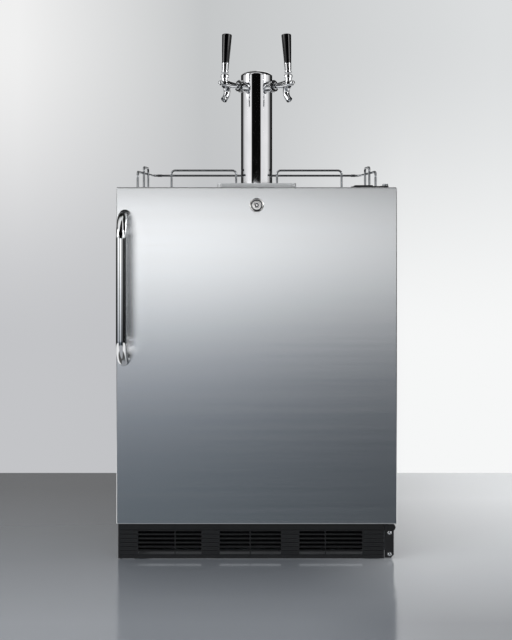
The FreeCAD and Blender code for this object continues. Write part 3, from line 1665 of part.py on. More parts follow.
def drip_grate():
    """The slotted plate that lies in the tray."""
    body = new_body("drip_grate")
    front, rear = "(TrayFrontY + TrayWall + GrateClear)", "(TrayRearY - TrayWall - GrateClear)"
    plan = rectangle(sketch(body, "Plan", "XY", out="GrateLow"), "-GrateHalf", front, "GrateHalf", rear)
    plate = feature(body, "Pad", "Plate", plan, Length="GrateThick")
    corners = rounded(
        body, "Corners", plate, "TrayCorner - TrayWall - GrateClear", lambda e: runs_along(e, "z")
    )
    body.Tip = corners
    slot = rectangle(
        sketch(body, "Slot", "XY", out="GrateLow"),
        "GrateMargin - GrateHalf",
        f"{front} + (({rear}) - ({front}) - (GrateSlots - 1) * GrateSlotPitch - GrateSlotWide) / 2",
        "GrateHalf - GrateMargin",
        f"{front} + (({rear}) - ({front}) - (GrateSlots - 1) * GrateSlotPitch + GrateSlotWide) / 2",
    )
    first = feature(body, "Pocket", "SlotCut", slot, Length="GrateThick + 1")
    first.Reversed = True
    repeat(body, "Slots", first, slot, "GrateSlots", "GrateSlotPitch")


# ---- the guard rail ------------------------------------------------------------------------------


def side_rails():
    """Each side rail: a front leg, the run to the back and the corner into the rear sleeve."""
    for side, sign in SIDES.items():
        x = f"{sign} * RailSide"
        corners = [
            spot(x, "Front + RailFront", "CabinetHeight"),
            spot(x, "Front + RailFront", "RailZ"),
            spot(x, "RailY", "RailZ"),
            spot(f"{sign} * (RailSide - RailCorner - SleeveLength / 2)", "RailY", "RailZ"),
        ]
        solid(f"rail_{side}", bar_along(corners, value("RailCorner") - 1, value("WireRadius")))


def rear_rail():
    """The straight rail across the back, between the sleeves."""
    half = "(RailSide - RailCorner - SleeveLength / 2)"
    keep(
        "rail_rear", rod("RailRearRod", "x", (f"-{half}", "RailY", "RailZ"), "WireRadius", f"2 * {half}")
    )


def loop_places():
    """The four raised loops: name, plane, out of it, and the two legs' places."""
    yield "rear_left", "XZ", "-LoopRear", "-RearLoopOuter", "-RearLoopInner"
    yield "rear_right", "XZ", "-LoopRear", "RearLoopInner", "RearLoopOuter"
    yield "side_left", "YZ", "-LoopSide", "Front + SideLoopFront", "Front + SideLoopRear"
    yield "side_right", "YZ", "LoopSide", "Front + SideLoopFront", "Front + SideLoopRear"


def rail_loops():
    """Four raised wire loops, just inside the rails."""
    loops = []
    for name, plane, out, low, high in loop_places():
        body = doc.addObject("PartDesign::Body", f"Loop_{name}")
        path = sketch(body, "Path", plane, out=out)
        arch(path, "CabinetHeight", "CabinetHeight + LoopHeight", low, high, "LoopBend", True)
        section = sketch(body, "Section", "XY", out="CabinetHeight")
        across = (low, "LoopRear") if plane == "XZ" else (out, low)
        circle(section, *across, "WireRadius")
        swept(body, "Wire", section, path, 5)
        loops.append(body)
    keep("rail_loops", join("RailLoops", *loops))


def rail_fittings():
    """The sleeves that join the rails, and a cup round the foot of each leg."""
    fittings = []
    legs = []
    for side, sign in SIDES.items():
        legs.append((f"{side}_front", f"{sign} * RailSide", "Front + RailFront"))
    for name, plane, out, low, high in loop_places():
        for end, along in (("low", low), ("high", high)):
            at = (along, "LoopRear") if plane == "XZ" else (out, along)
            legs.append((f"{name}_{end}", *at))
    for name, x, y in legs:
        cup = rod(f"Cup_{name}", "z", (x, y, "CabinetHeight"), "CupRadius", "CupHeight")
        hole = rod(f"CupHole_{name}", "z", (x, y, "CabinetHeight - 1"), "WireRadius", "CupHeight + 2")
        fittings.append(cut(f"CupRing_{name}", cup, hole))
    for side, sign in SIDES.items():
        middle = f"{sign} * (RailSide - RailCorner - SleeveLength / 2)"
        start = (f"{middle} - SleeveLength / 2", "RailY", "RailZ")
        sleeve = rod(f"Sleeve_{side}", "x", start, "SleeveRadius", "SleeveLength")
        hole = rod(
            f"SleeveHole_{side}",
            "x",
            (f"{middle} - SleeveLength", *start[1:]),
            "WireRadius",
            "SleeveLength * 2",
        )
        fittings.append(cut(f"SleeveRing_{side}", sleeve, hole))
    keep("rail_fittings", join("RailFittings", *fittings))


# ---- the machine bay -----------------------------------------------------------------------------


def mount_places():
    """The compressor's four rubber mounts."""
    for column, x in (("left", "CompressorX - MountSpreadX"), ("right", "CompressorX + MountSpreadX")):
        for row, y in (("front", "BayY - MountSpreadY"), ("rear", "BayY + MountSpreadY")):
            yield f"{row}_{column}", x, y


def compressor():
    """The sealed steel shell on its base plate."""
    body = new_body("compressor")
    low = "MachineFloor"
    high = "(MachineFloor + CompressorHeight)"
    section = outline(
        sketch(body, "Section", "XZ"),
        ("0", low),
        ("CompressorRadius - 10", low),
        ("CompressorRadius", f"{low} + 10"),
        ("CompressorRadius", f"{high} - CompressorDome"),
        ("CompressorRadius * 0.85", f"{high} - CompressorDome * 0.4"),
        ("CompressorRadius * 0.5", f"{high} - CompressorDome * 0.1"),
        ("0", high),
        ("0", f"{high} - CompressorShell"),
        ("CompressorRadius * 0.5 - 1", f"{high} - CompressorDome * 0.1 - CompressorShell"),
        (
            "CompressorRadius * 0.85 - CompressorShell",
            f"{high} - CompressorDome * 0.4 - CompressorShell",
        ),
        ("CompressorRadius - CompressorShell", f"{high} - CompressorDome - 2"),
        ("CompressorRadius - CompressorShell", f"{low} + 20"),
        ("0", f"{low} + 20"),
    )
    turned(body, "Shell", section)
    plate = rectangle(
        sketch(body, "PlatePlan", "XY", out=low),
        "-MountSpreadX - 12",
        "-MountSpreadY - 12",
        "MountSpreadX + 12",
        "MountSpreadY + 12",
    )
    feature(body, "Pad", "Plate", plate, Length="CompressorPlate")
    place(body, "CompressorX", "BayY")


def compressor_mounts():
    """Four rubber mounts under the compressor's plate."""
    mounts = [
        rod(f"Mount_{name}", "z", (x, y, "PanTop"), "MountRadius", "MountHeight")
        for name, x, y in mount_places()
    ]
    keep("compressor_mounts", join("CompressorMounts", *mounts))


def condenser():
    """A finned block with the coil's bends at its ends, on two legs."""
    low, high = "BayY - CondenserDepth / 2", "BayY + CondenserDepth / 2"
    core = doc.addObject("PartDesign::Body", "CondenserCore")
    face = rectangle(
        sketch(core, "Face", "YZ", out="CondenserLeft"), low, "CondenserLow", high, "CondenserHigh"
    )
    feature(core, "Pad", "Block", face, Length="CondenserRight - CondenserLeft")
    gap = rectangle(
        sketch(core, "Gap", "YZ", out="CondenserLeft - 1"),
        f"{low} + FinThick",
        "CondenserLow + FinEnd",
        f"{low} + FinPitch",
        "CondenserHigh - FinEnd",
    )
    first = feature(core, "Pocket", "GapCut", gap, Length="CondenserRight - CondenserLeft + 2")
    first.Reversed = True
    repeat(core, "Gaps", first, gap, "FinGaps", "FinPitch", axis="H_Axis")
    legs = [
        box(
            f"CondenserLeg{name}",
            (f"{x}", f"{low} + 8", "PanTop"),
            (f"{x} + 4", f"{high} - 8", "CondenserLow"),
        )
        for name, x in (("Left", "CondenserLeft + 26"), ("Right", "CondenserRight - 4"))
    ]
    tubes = [
        rod(
            f"CondenserTube{row}",
            "y",
            (
                "(CondenserLeft + CondenserRight) / 2",
                f"{low} - 8",
                f"CondenserLow + CoilPitch * {row} + 18",
            ),
            "CoilRadius",
            "CondenserDepth + 16",
        )
        for row in range(SIZES["CoilRows"])
    ]
    keep("condenser", join("Condenser", core, *legs, *tubes))


def fan_bracket():
    """The fan's frame: a square plate with a round duct, arms and the motor behind."""
    front = "FanX - FanDepth / 2"
    plate = box(
        "FanPlate",
        (front, "BayY - FanFrame", "PanTop"),
        ("FanX + FanDepth / 2", "BayY + FanFrame", "FanHeight + FanFrame"),
    )
    duct = rod("FanDuct", "x", (f"{front} - 1", "BayY", "FanHeight"), "FanRing", "FanDepth + 2")
    arms = [
        box(
            "FanArmLevel",
            ("FanX + FanDepth / 2 - 4", "BayY - FanRing - 2", "FanHeight - ArmWide / 2"),
            ("FanX + FanDepth / 2", "BayY + FanRing + 2", "FanHeight + ArmWide / 2"),
        ),
        box(
            "FanArmUpright",
            ("FanX + FanDepth / 2 - 4", "BayY - ArmWide / 2", "FanHeight - FanRing - 2"),
            ("FanX + FanDepth / 2", "BayY + ArmWide / 2", "FanHeight + FanRing + 2"),
        ),
    ]
    motor = rod(
        "FanMotor", "x", ("FanX + FanDepth / 2 - 4", "BayY", "FanHeight"), "MotorRadius", "MotorLength"
    )
    shaft = rod("FanShaft", "x", ("FanX - 6", "BayY", "FanHeight"), "ShaftRadius", "FanDepth / 2 + 6")
    keep("fan_bracket", join("FanBracket", cut("FanPlateCut", plate, duct), *arms, motor, shaft))


def fan_rotor():
    """The hub and its blades, on the motor's shaft."""
    body = new_body("fan_rotor")
    hub_start = "(-FanDepth / 2)"
    hub = circle(sketch(body, "Hub", "YZ", out=hub_start), "0", "0", "HubRadius")
    feature(body, "Pad", "HubPad", hub, Length="HubLength")
    blade = sketch(body, "Blade", "XY", out="HubRadius - 1.5")
    rise, sweep, middle = "BladeRise", "BladeSweep", f"({hub_start} + HubLength / 2)"
    outline(
        blade,
        (f"{middle} - {rise}", f"-{sweep}"),
        (f"{middle} - {rise} + BladeThick", f"-{sweep}"),
        (f"{middle} + {rise}", sweep),
        (f"{middle} + {rise} - BladeThick", sweep),
    )
    first = feature(body, "Pad", "BladePad", blade, Length="FanRadius - HubRadius")
    pattern = body.newObject("PartDesign::PolarPattern", f"{body.Name}Blades")
    pattern.Originals = [first]
    pattern.Axis = (next(o for o in body.Origin.OriginFeatures if o.Role == "X_Axis"), [""])
    pattern.Angle = 360
    bind(pattern, Occurrences="Blades")
    body.Tip = pattern
    bore = circle(sketch(body, "Bore", "YZ", out=f"{hub_start} + 4"), "0", "0", "ShaftRadius + RunClear")
    feature(body, "Pocket", "BoreCut", bore, Length="HubLength").Reversed = True
    place(body, "FanX", "BayY", "FanHeight")


# ---- the room's fittings -------------------------------------------------------------------------


def evaporator():
    """The cold plate on the room's rear wall, with the coil's ridges."""
    body = new_body("evaporator")
    face = sketch(body, "Face", "XZ", out="-RoomBack")
    rectangle(face, "-EvaporatorHalf", "EvaporatorLow", "EvaporatorHalf", "EvaporatorHigh")
    feature(body, "Pad", "Plate", face, Length="EvaporatorThick")
    ridge = sketch(
        body,
        "Ridge",
        "YZ",
        x="RoomBack - EvaporatorThick",
        y="EvaporatorLow + 30",
        out="15 - EvaporatorHalf",
    )
    outline(
        ridge,
        ("1", "-RidgeRadius"),
        ("-RidgeRadius * 0.6", "-RidgeRadius * 0.8"),
        ("-RidgeRadius", "0"),
        ("-RidgeRadius * 0.6", "RidgeRadius * 0.8"),
        ("1", "RidgeRadius"),
    )
    first = feature(body, "Pad", "RidgePad", ridge, Length="2 * EvaporatorHalf - 30")
    repeat(body, "Ridges", first, ridge, "RidgeRows", "RidgePitch")


def control_box():
    """The housing on the room's right wall, with the thermostat's shaft and the rocker's window."""
    outer = box(
        "ControlOuter",
        ("ControlX", "Mouth + ControlFront", "ControlLow"),
        ("RoomWidth / 2", "Mouth + ControlRear", "ControlHigh"),
    )
    window = box(
        "ControlWindow",
        (
            "ControlX - 1",
            "Mouth + RockerSet - RockerWide / 2 - RockerClear",
            "ControlMiddle - RockerLong / 2 - 3",
        ),
        (
            "ControlX + RockerDeep + 4",
            "Mouth + RockerSet + RockerWide / 2 + RockerClear",
            "ControlMiddle + RockerLong / 2 + 3",
        ),
    )
    shaft = rod(
        "ControlShaft",
        "x",
        ("ControlX - KnobHeight + 4", "Mouth + KnobSet", "ControlMiddle"),
        "KnobShaft",
        "KnobHeight",
    )
    axle = rod(
        "RockerAxle",
        "y",
        ("ControlX + 3", "Mouth + RockerSet - RockerWide / 2 - RockerClear - 1", "ControlMiddle"),
        "1.5",
        "RockerWide + 2 * RockerClear + 2",
    )
    keep("control_box", join("ControlBox", cut("ControlCase", outer, window), shaft, axle))


def thermostat_knob():
    """The round knob, with a grip bar across it."""
    start = "(ControlX - KnobSeat - KnobHeight)"
    disc = rod(
        "KnobDisc",
        "x",
        (f"{start} + KnobGrip", "Mouth + KnobSet", "ControlMiddle"),
        "KnobRadius",
        "KnobHeight - KnobGrip",
    )
    bar = box(
        "KnobBar",
        (start, "Mouth + KnobSet - 3", "ControlMiddle - KnobRadius + 2"),
        (f"{start} + KnobGrip + 1", "Mouth + KnobSet + 3", "ControlMiddle + KnobRadius - 2"),
    )
    bore = rod(
        "KnobBore", "x", (
            "ControlX - KnobHeight + 3.5", "Mouth + KnobSet", "ControlMiddle"
        ), "KnobShaft + RunClear", "KnobHeight"
    )
    keep("thermostat_knob", cut("ThermostatKnob", join("KnobWhole", disc, bar), bore))


def light_switch():
    """The rocker for the room's light, on its axle."""
    body = new_body("light_switch")
    drawing = sketch(
        body, "Section", "XZ", x="ControlX", y="ControlMiddle", out="-Mouth - RockerSet - RockerWide / 2"
    )
    outline(
        drawing,
        ("RockerDeep - 1", "-RockerLong / 4"),
        ("RockerDeep - 1", "RockerLong / 4"),
        ("0", "RockerLong / 2"),
        ("-3", "RockerLong / 2"),
        ("-1", "0"),
        ("-1.6", "-RockerLong / 2"),
        ("0.5", "-RockerLong / 2"),
    )
    circle(drawing, "3", "0", "1.5 + RunClear")
    feature(body, "Pad", "Rocker", drawing, Length="RockerWide")


# ---- build, check and write ----------------------------------------------------------------------

cabinet_wrap()
top_panel()
back_panel()
cabinet_foam()
cabinet_liner()
machine_bulkhead()
base_pan()
levelling_feet()
kick_grille()
lower_hinge_bracket()
lower_hinge_screws()
upper_hinge_plate()
upper_hinge_hood()
hinge_pins()
door_skin()
door_foam()
door_liner()
door_gasket()
hinge_bushings()
towel_handle()
lock_body()
lock_plug()
lock_cam()
lock_keeper()
column_tube()
column_cap()
column_base()
column_lagging()
beer_lines()
line_manifold()
faucet_shanks()
coupling_nuts()
bonnets()
for each_side in SIDES:
    faucet_body(each_side)
    lever(each_side)
    tap_handle(each_side)
    plunger(each_side)
drip_tray()
drip_grate()
side_rails()
rear_rail()
rail_loops()
rail_fittings()
compressor()
compressor_mounts()
condenser()
fan_bracket()
fan_rotor()
evaporator()
control_box()
thermostat_knob()
light_switch()

doc.recompute()
for thing in doc.Objects:
    if {"Invalid", "Error"} & set(thing.State):
        raise RuntimeError(f"{thing.Name} ({thing.Label}) did not build: {thing.State}")
for thing in nodes:
    if thing.Shape.isNull() or not thing.Shape.isValid():
        raise RuntimeError(f"{thing.Label} has no valid shape")

os.makedirs(OUT, exist_ok=True)
for thing in nodes:
    thing.Shape.exportStep(os.path.join(OUT, f"{thing.Label}.step"))
print(f"{len(nodes)} nodes written")
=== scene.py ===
"""A two-tap beer dispenser: its visible pieces, finishes and studio, built on its CAD frame."""

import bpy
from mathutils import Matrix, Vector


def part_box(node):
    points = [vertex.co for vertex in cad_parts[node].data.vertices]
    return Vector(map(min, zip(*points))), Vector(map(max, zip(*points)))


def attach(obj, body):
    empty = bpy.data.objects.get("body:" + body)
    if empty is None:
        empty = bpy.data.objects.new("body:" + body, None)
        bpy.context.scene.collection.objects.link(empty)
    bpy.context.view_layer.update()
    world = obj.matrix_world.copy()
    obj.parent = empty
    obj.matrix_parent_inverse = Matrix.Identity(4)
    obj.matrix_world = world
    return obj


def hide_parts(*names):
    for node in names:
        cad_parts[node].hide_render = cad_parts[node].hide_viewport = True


bl_info = {
    "name": "Two-tap beer dispenser",
    "version": (1, 0, 0),
    "blender": (4, 5, 0),
    "location": "3D View > Sidebar > Dispenser",
    "description": "Builds a beer dispenser's visible pieces, finishes and studio on its CAD frame",
    "category": "Add Mesh",
}

from math import cos, pi, radians, sin, tan

import bmesh
import bpy
from bpy.props import FloatProperty, FloatVectorProperty, IntProperty, PointerProperty
from mathutils import Vector

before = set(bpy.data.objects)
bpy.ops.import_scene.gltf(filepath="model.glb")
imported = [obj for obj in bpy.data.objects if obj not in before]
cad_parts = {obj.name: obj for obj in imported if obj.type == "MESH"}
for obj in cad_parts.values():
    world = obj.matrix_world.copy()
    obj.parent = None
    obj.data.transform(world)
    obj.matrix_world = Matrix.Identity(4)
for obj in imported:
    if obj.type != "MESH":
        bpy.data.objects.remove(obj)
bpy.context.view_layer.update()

MM = 0.001
X, Y, Z = Vector((1, 0, 0)), Vector((0, 1, 0)), Vector((0, 0, 1))

# Places that several pieces share, in millimetres, as the CAD frame has them.
FRONT, GRILLE, MOUTH = -266.5, -252.5, -206.5  # faces of the door, the grille and the cabinet
WORKTOP = 800.0
COLUMN = Vector((0, 19.5, 0))
FAUCET_AXIS, LEVER_REACH, BALL_RISE = 1046, 106, 20.9
SIDES = {"left": -1, "right": 1}

finishes = {}


def linear(code):
    """An sRGB hex colour as linear red, green, blue and alpha."""
    values = []
    for start in (1, 3, 5):
        part = int(code[start : start + 2], 16) / 255
        values.append(part / 12.92 if part <= 0.04045 else ((part + 0.055) / 1.055) ** 2.4)
    return (*values, 1.0)


def size_of(label, about, metres):
    """A length that a user may change."""
    return FloatProperty(
        name=label, description=about, default=metres, unit="LENGTH", subtype="DISTANCE",
        precision=4,
    )


def colour_of(label, about, code):
    """A colour that a user may change, from its sRGB hex."""
    return FloatVectorProperty(
        name=label, description=about, default=linear(code), size=4, min=0, max=1, subtype="COLOR"
    )


class DispenserSizes(bpy.types.PropertyGroup):
    """Sizes of the dressed pieces."""

    rail_wire: size_of("Rail wire", "Radius of the guard rail's wire", 0.0029)
    rail_bend: size_of("Rail bend", "Bend radius of the rail's corners", 0.013)
    loop_bend: size_of("Loop bend", "Bend radius of the raised loops", 0.010)
    handle_bar: size_of("Handle bar", "Radius of the towel bar's tube", 0.011)
    handle_bend: size_of("Handle bend", "Bend radius at the towel bar's ends", 0.050)
    grip_low: size_of("Grip foot", "Radius of a tap handle at its foot", 0.0084)
    grip_high: size_of("Grip head", "Radius of a tap handle at its top", 0.0116)
    column: size_of("Column", "Radius of the draught column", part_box("column_tube")[1].x)
    slot_pitch: size_of("Slot pitch", "From one slot of the kick grille to the next", 0.0089)
    slot_rows: IntProperty(
        name="Slot rows", description="Slots one above the other", default=6, min=1, max=12
    )


class DispenserColours(bpy.types.PropertyGroup):
    """Colours of the main finishes."""

    steel: colour_of("Brushed steel", "Door skin", "#e9eaeb")
    chrome: colour_of("Chrome", "Faucets, rails and towel bar", "#e8e9ea")
    paint: colour_of("Black paint", "Grille, wrap and hinges", "#141517")
    grip: colour_of("Handle black", "Tap handles", "#050506")
    liner: colour_of("Liner white", "Inside of the room and the door", "#eceded")


def add(tree, kind, inputs=None, stops=(), **settings):
    """Adds a node, sets it, and sets or links its inputs."""
    node = tree.nodes.new(kind)
    for key, setting in settings.items():
        setattr(node, key, setting)
    for count, (at, shade) in enumerate(stops):
        scale = node.color_ramp.elements
        stop = scale[count] if count < 2 else scale.new(at)
        stop.position = at
        stop.color = shade if isinstance(shade, tuple) else (shade, shade, shade, 1)
    for key, given in (inputs or {}).items():
        if isinstance(given, bpy.types.NodeSocket):
            tree.links.new(given, node.inputs[key])
        else:
            node.inputs[key].default_value = given
    return node


# ---- finishes ----


def finish(name, dark, light, rough, grain, tone, bump=0.0, metal=0.0, cells=False, **sockets):
    """A finish from two colours and a roughness range.

    A fine grain and a broad tone spread both. Their sizes and the bump's height are in
    millimetres, and one number stands for all three directions.
    """
    made = bpy.data.materials.new(name)
    made.use_nodes = True
    tree = made.node_tree
    tree.nodes.clear()
    spot = add(tree, "ShaderNodeTexCoord").outputs["Object"]
    maps = []
    for given in (grain, tone):
        sizes = given if isinstance(given, tuple) else (given,) * 3
        scaled = {"Vector": spot, "Scale": [1000 / mm for mm in sizes]}
        maps.append(add(tree, "ShaderNodeMapping", scaled).outputs[0])
    fine, wide = maps
    if cells:
        speck = add(tree, "ShaderNodeTexVoronoi", {"Vector": fine, "Scale": 1.0})
        speck = add(tree, "ShaderNodeSeparateColor", {"Color": speck.outputs["Color"]})
    else:
        noise = {"Vector": fine, "Scale": 1.0, "Detail": 3.0}
        speck = add(tree, "ShaderNodeTexNoise", noise)
    speck = speck.outputs[0]
    noise = {"Vector": wide, "Scale": 1.0, "Detail": 2.0}
    drift = add(tree, "ShaderNodeTexNoise", noise).outputs[0]
    blend = add(tree, "ShaderNodeMath", {0: speck, 1: drift}, operation="ADD").outputs[0]
    share = {"Value": blend, "From Min": 0.65, "From Max": 1.35}
    share = add(tree, "ShaderNodeMapRange", share).outputs[0]
    dark, light = (linear(c) if isinstance(c, str) else tuple(c) for c in (dark, light))
    tint = {0: share, 6: dark, 7: light}
    tint = add(tree, "ShaderNodeMix", tint, data_type="RGBA").outputs[2]
    gloss = {"Value": share, "To Min": rough[0], "To Max": rough[1]}
    gloss = add(tree, "ShaderNodeMapRange", gloss).outputs[0]
    surface = {"Base Color": tint, "Roughness": gloss, "Metallic": metal, **sockets}
    if bump:
        relief = {"Height": speck, "Strength": 1.0, "Distance": bump * MM}
        surface["Normal"] = add(tree, "ShaderNodeBump", relief).outputs[0]
    shader = add(tree, "ShaderNodeBsdfPrincipled", surface)
    add(tree, "ShaderNodeOutputMaterial", {"Surface": shader.outputs[0]})
    finishes[name] = made


def make_finishes(colours):
    """Every finish of the dispenser, named for what it is and how it was made."""
    # Stainless sheet, belt-brushed sideways: long fine streaks that smear the reflection up and
    # down. Real grit lines are 0.1 mm; they are drawn at 0.5 mm so that they show.
    finish(
        "brushed_stainless", "#e3e5e7", colours.steel, (0.22, 0.25), (90, 90, 0.5), (700, 700, 9),
        bump=0.0006, metal=1, Anisotropic=0.8,
    )
    # Stainless tube, buffed to a mirror: near-black and white bands with a trace of haze.
    finish(
        "polished_stainless", "#dcdddf", "#ececee", (0.02, 0.04), (14, 14, 50), (90, 90, 200),
        metal=1,
    )
    # Bright chrome over brass: hard mirror, faint water spots in its gloss.
    finish("bright_chrome", "#dfe1e3", colours.chrome, (0.02, 0.06), 6, 40, metal=1)
    # Chromed wire: greyer than the faucets, with the drawn wire's slight waviness.
    finish("chromed_wire", "#a6a9ac", "#bcbfc2", (0.05, 0.11), 8, 60, bump=0.0006, metal=1)
    # Zinc-plated steel screw: brighter on top, dull in its recess.
    finish("zinc_plate", "#b9bcbf", "#e0e2e4", (0.16, 0.3), 1.5, 10, bump=0.0008, metal=1)
    # Powder-coated sheet, black: fine orange peel that breaks up a low sheen.
    finish("black_powder_coat", "#0f1012", colours.paint, (0.36, 0.48), 1.6, 120, bump=0.012)
    # Moulded ABS, black, spark-eroded texture: soft satin.
    finish("black_abs", "#101113", "#191a1c", (0.38, 0.5), 0.9, 60, bump=0.01)
    # Turned phenolic, lacquered: deep black with hard highlights.
    finish("lacquered_phenolic", "#020203", colours.grip, (0.04, 0.08), (9, 9, 30), (30, 30, 80))
    # Moulded worktop, black, with a pebbled grain 1.2 mm across.
    finish("pebbled_worktop", "#141517", "#222325", (0.45, 0.6), 1.2, 200, bump=0.05)
    # Hot-dip galvanised sheet: zinc spangles about 9 mm across, each with its own grey.
    finish("galvanised_sheet", "#a7abae", "#b2b6b9", (0.3, 0.4), 9, 140, metal=1, cells=True)
    # Rigid polyurethane foam: pale yellow with open cells at its cut edges.
    finish("foam_core", "#c9b78a", "#dccda6", (0.85, 0.95), 1.4, 30, bump=0.08, cells=True)
    # Vacuum-formed polystyrene, white: smooth and even, with the faint grain of the sheet.
    finish("formed_polystyrene", "#eaebeb", colours.liner, (0.34, 0.36), 2, 300, bump=0.004)
    # Extruded PVC gasket, dark grey: matt with a slip bloom.
    finish("gasket_pvc", "#202224", "#2c2e30", (0.5, 0.66), 3, 40, bump=0.01)
    # Moulded nylon, black: dry and slightly mottled.
    finish("black_nylon", "#131314", "#1e1f20", (0.42, 0.55), 2, 14, bump=0.02)
    # Nylon, natural: cream and waxy.
    finish("natural_nylon", "#d9d2bd", "#e8e3d4", (0.36, 0.46), 2, 10, bump=0.01)
    # Ground steel pin: fine rings round it.
    finish("ground_steel", "#9fa3a6", "#c4c7ca", (0.2, 0.32), (8, 8, 0.4), 30, bump=0.001, metal=1)
    # Pressed stainless tray, linen-brushed and bead-blasted after: pale, with a wide soft sheen.
    finish(
        "pressed_stainless", "#d8dadb", "#e6e7e8", (0.48, 0.56), (0.5, 40, 40), 60, bump=0.0015,
        metal=0.45,
    )
    # Die-cast zinc, polished and nickelled: the lock's warm grey.
    finish("nickelled_zinc", "#d6d5d3", "#eae9e7", (0.16, 0.24), 2, 12, bump=0.001, metal=1)
    # Enamelled compressor shell, black: thick glossy paint with runs.
    finish("compressor_enamel", "#0c0d0e", "#17181a", (0.18, 0.3), (7, 7, 16), 40, bump=0.06)
    # Natural rubber mount: dull black with a dusty bloom.
    finish("mount_rubber", "#151515", "#232323", (0.6, 0.78), 1.2, 12, bump=0.02)
    # Aluminium fin stock: dull silver, faintly streaked.
    finish(
        "fin_aluminium", "#a4a8ab", "#c8cbcd", (0.28, 0.42), (3, 0.6, 20), 60, bump=0.003, metal=1
    )
    # Anodised roll-bond plate: soft grey with a silken blur.
    finish("anodised_plate", "#b2b6b9", "#c9cccf", (0.36, 0.46), 0.8, 120, bump=0.006, metal=1)
    # Moulded polypropylene, white: a clean satin.
    finish("white_polypropylene", "#dcdddc", "#ebecea", (0.34, 0.44), 1.2, 30, bump=0.012)
    # Moulded polypropylene, grey: the same satin.
    finish("grey_polypropylene", "#585c60", "#6c7074", (0.36, 0.48), 1.2, 30, bump=0.012)


NODE_FINISHES = {
    "black_powder_coat": (
        "cabinet_wrap", "kick_grille", "lower_hinge_bracket", "upper_hinge_plate", "fan_bracket",
    ),
    "galvanised_sheet": ("back_panel", "base_pan", "machine_bulkhead", "lock_keeper"),
    "foam_core": ("cabinet_foam", "door_foam", "column_lagging"),
    "formed_polystyrene": ("cabinet_liner", "door_liner"),
    "pebbled_worktop": ("top_panel",),
    "black_abs": ("upper_hinge_hood",),
    "gasket_pvc": ("door_gasket",),
    "black_nylon": (
        "foot_front_left", "foot_front_right", "foot_rear_left", "foot_rear_right", "fan_rotor",
    ),
    "natural_nylon": ("hinge_bushings", "beer_lines"),
    "ground_steel": ("hinge_pins", "plunger_left", "plunger_right"),
    "brushed_stainless": ("door_skin",),
    "pressed_stainless": ("drip_tray", "drip_grate"),
    "nickelled_zinc": ("lock_body", "lock_plug", "lock_cam"),
    "polished_stainless": ("column_tube", "column_cap", "column_base"),
    "bright_chrome": (
        "towel_handle", "faucet_shanks", "coupling_nuts", "bonnets", "faucet_body_left",
        "faucet_body_right", "lever_left", "lever_right",
    ),
    "chromed_wire": ("rail_left", "rail_right", "rail_rear", "rail_loops", "rail_fittings"),
    "lacquered_phenolic": ("tap_handle_left", "tap_handle_right"),
    "zinc_plate": ("lower_hinge_screws",),
    "compressor_enamel": ("compressor",),
    "mount_rubber": ("compressor_mounts",),
    "fin_aluminium": ("condenser",),
    "anodised_plate": ("evaporator",),
    "white_polypropylene": ("control_box", "light_switch", "line_manifold"),
    "grey_polypropylene": ("thermostat_knob",),
}


# ---- shapes, all in millimetres ----


def eased(corners, steps=4):
    """Rounds a profile's corners, each by the radius that is its third value."""
    points = []
    for place, corner in enumerate(corners):
        here = Vector(corner[:2])
        if len(corner) < 3:
            points.append(here)
            continue
        back, on = Vector(corners[place - 1][:2]) - here, Vector(corners[place + 1][:2]) - here
        reach = min(corner[2] / tan(back.angle(on) / 2), back.length * 0.49, on.length * 0.49)
        start, end = here + back.normalized() * reach, here + on.normalized() * reach
        for step in range(steps + 1):
            t = step / steps
            points.append(start * (1 - t) ** 2 + here * 2 * t * (1 - t) + end * t**2)
    return points


def loft(bm, stations, side, count, closed=False):
    """A skin over round stations, each a centre, a direction and a radius."""
    rings = []
    for centre, along, radius in stations:
        if radius < 0.01:
            rings.append([bm.verts.new(centre * MM)])
            continue
        other = along.cross(side).normalized()
        turns = [2 * pi * step / count for step in range(count)]
        spots = [centre + radius * (cos(t) * side + sin(t) * other) for t in turns]
        rings.append([bm.verts.new(spot * MM) for spot in spots])
    for low, high in zip(rings, rings[1:] + (rings[:1] if closed else [])):
        for step in range(count):
            after = (step + 1) % count
            corners = [low[step % len(low)], low[after % len(low)]]
            corners += [high[after % len(high)], high[step % len(high)]]
            corners = list(dict.fromkeys(corners))
            if len(corners) > 2:
                bm.faces.new(corners)


def turned(bm, profile, base, axis, count=64, closed=False, steps=4):
    """A turned shape: a profile of distances along the axis, radii and roundings."""
    axis = axis.normalized()
    stations = [(base + axis * out, axis, wide) for out, wide in eased(profile, steps)]
    loft(bm, stations, axis.orthogonal().normalized(), count, closed)


def slab(bm, low, high, edge=0.0, steps=2, which=lambda edge: True):
    """A block between two corners, with its chosen edges rounded."""
    low, high = Vector(low), Vector(high)
    block = bmesh.ops.create_cube(bm, size=1)["verts"]
    for vert in block:
        vert.co = Vector([(low[k] if vert.co[k] < 0 else high[k]) * MM for k in range(3)])
    if edge:
        edges = [e for e in {e for v in block for e in v.link_edges} if which(e)]
        bmesh.ops.bevel(
            bm, geom=edges, offset=edge * MM, segments=steps, profile=0.5, affect="EDGES"
        )


def rounded(low, high, corner, steps=6):
    """A rectangle's outline with its four corners rounded, as pairs of values."""
    points = []
    for place, (right, top) in enumerate(((1, 1), (0, 1), (0, 0), (1, 0))):
        x = high[0] - corner if right else low[0] + corner
        y = high[1] - corner if top else low[1] + corner
        for step in range(steps + 1):
            turn = radians(90 * (place + step / steps))
            points.append((x + corner * cos(turn), y + corner * sin(turn)))
    return points


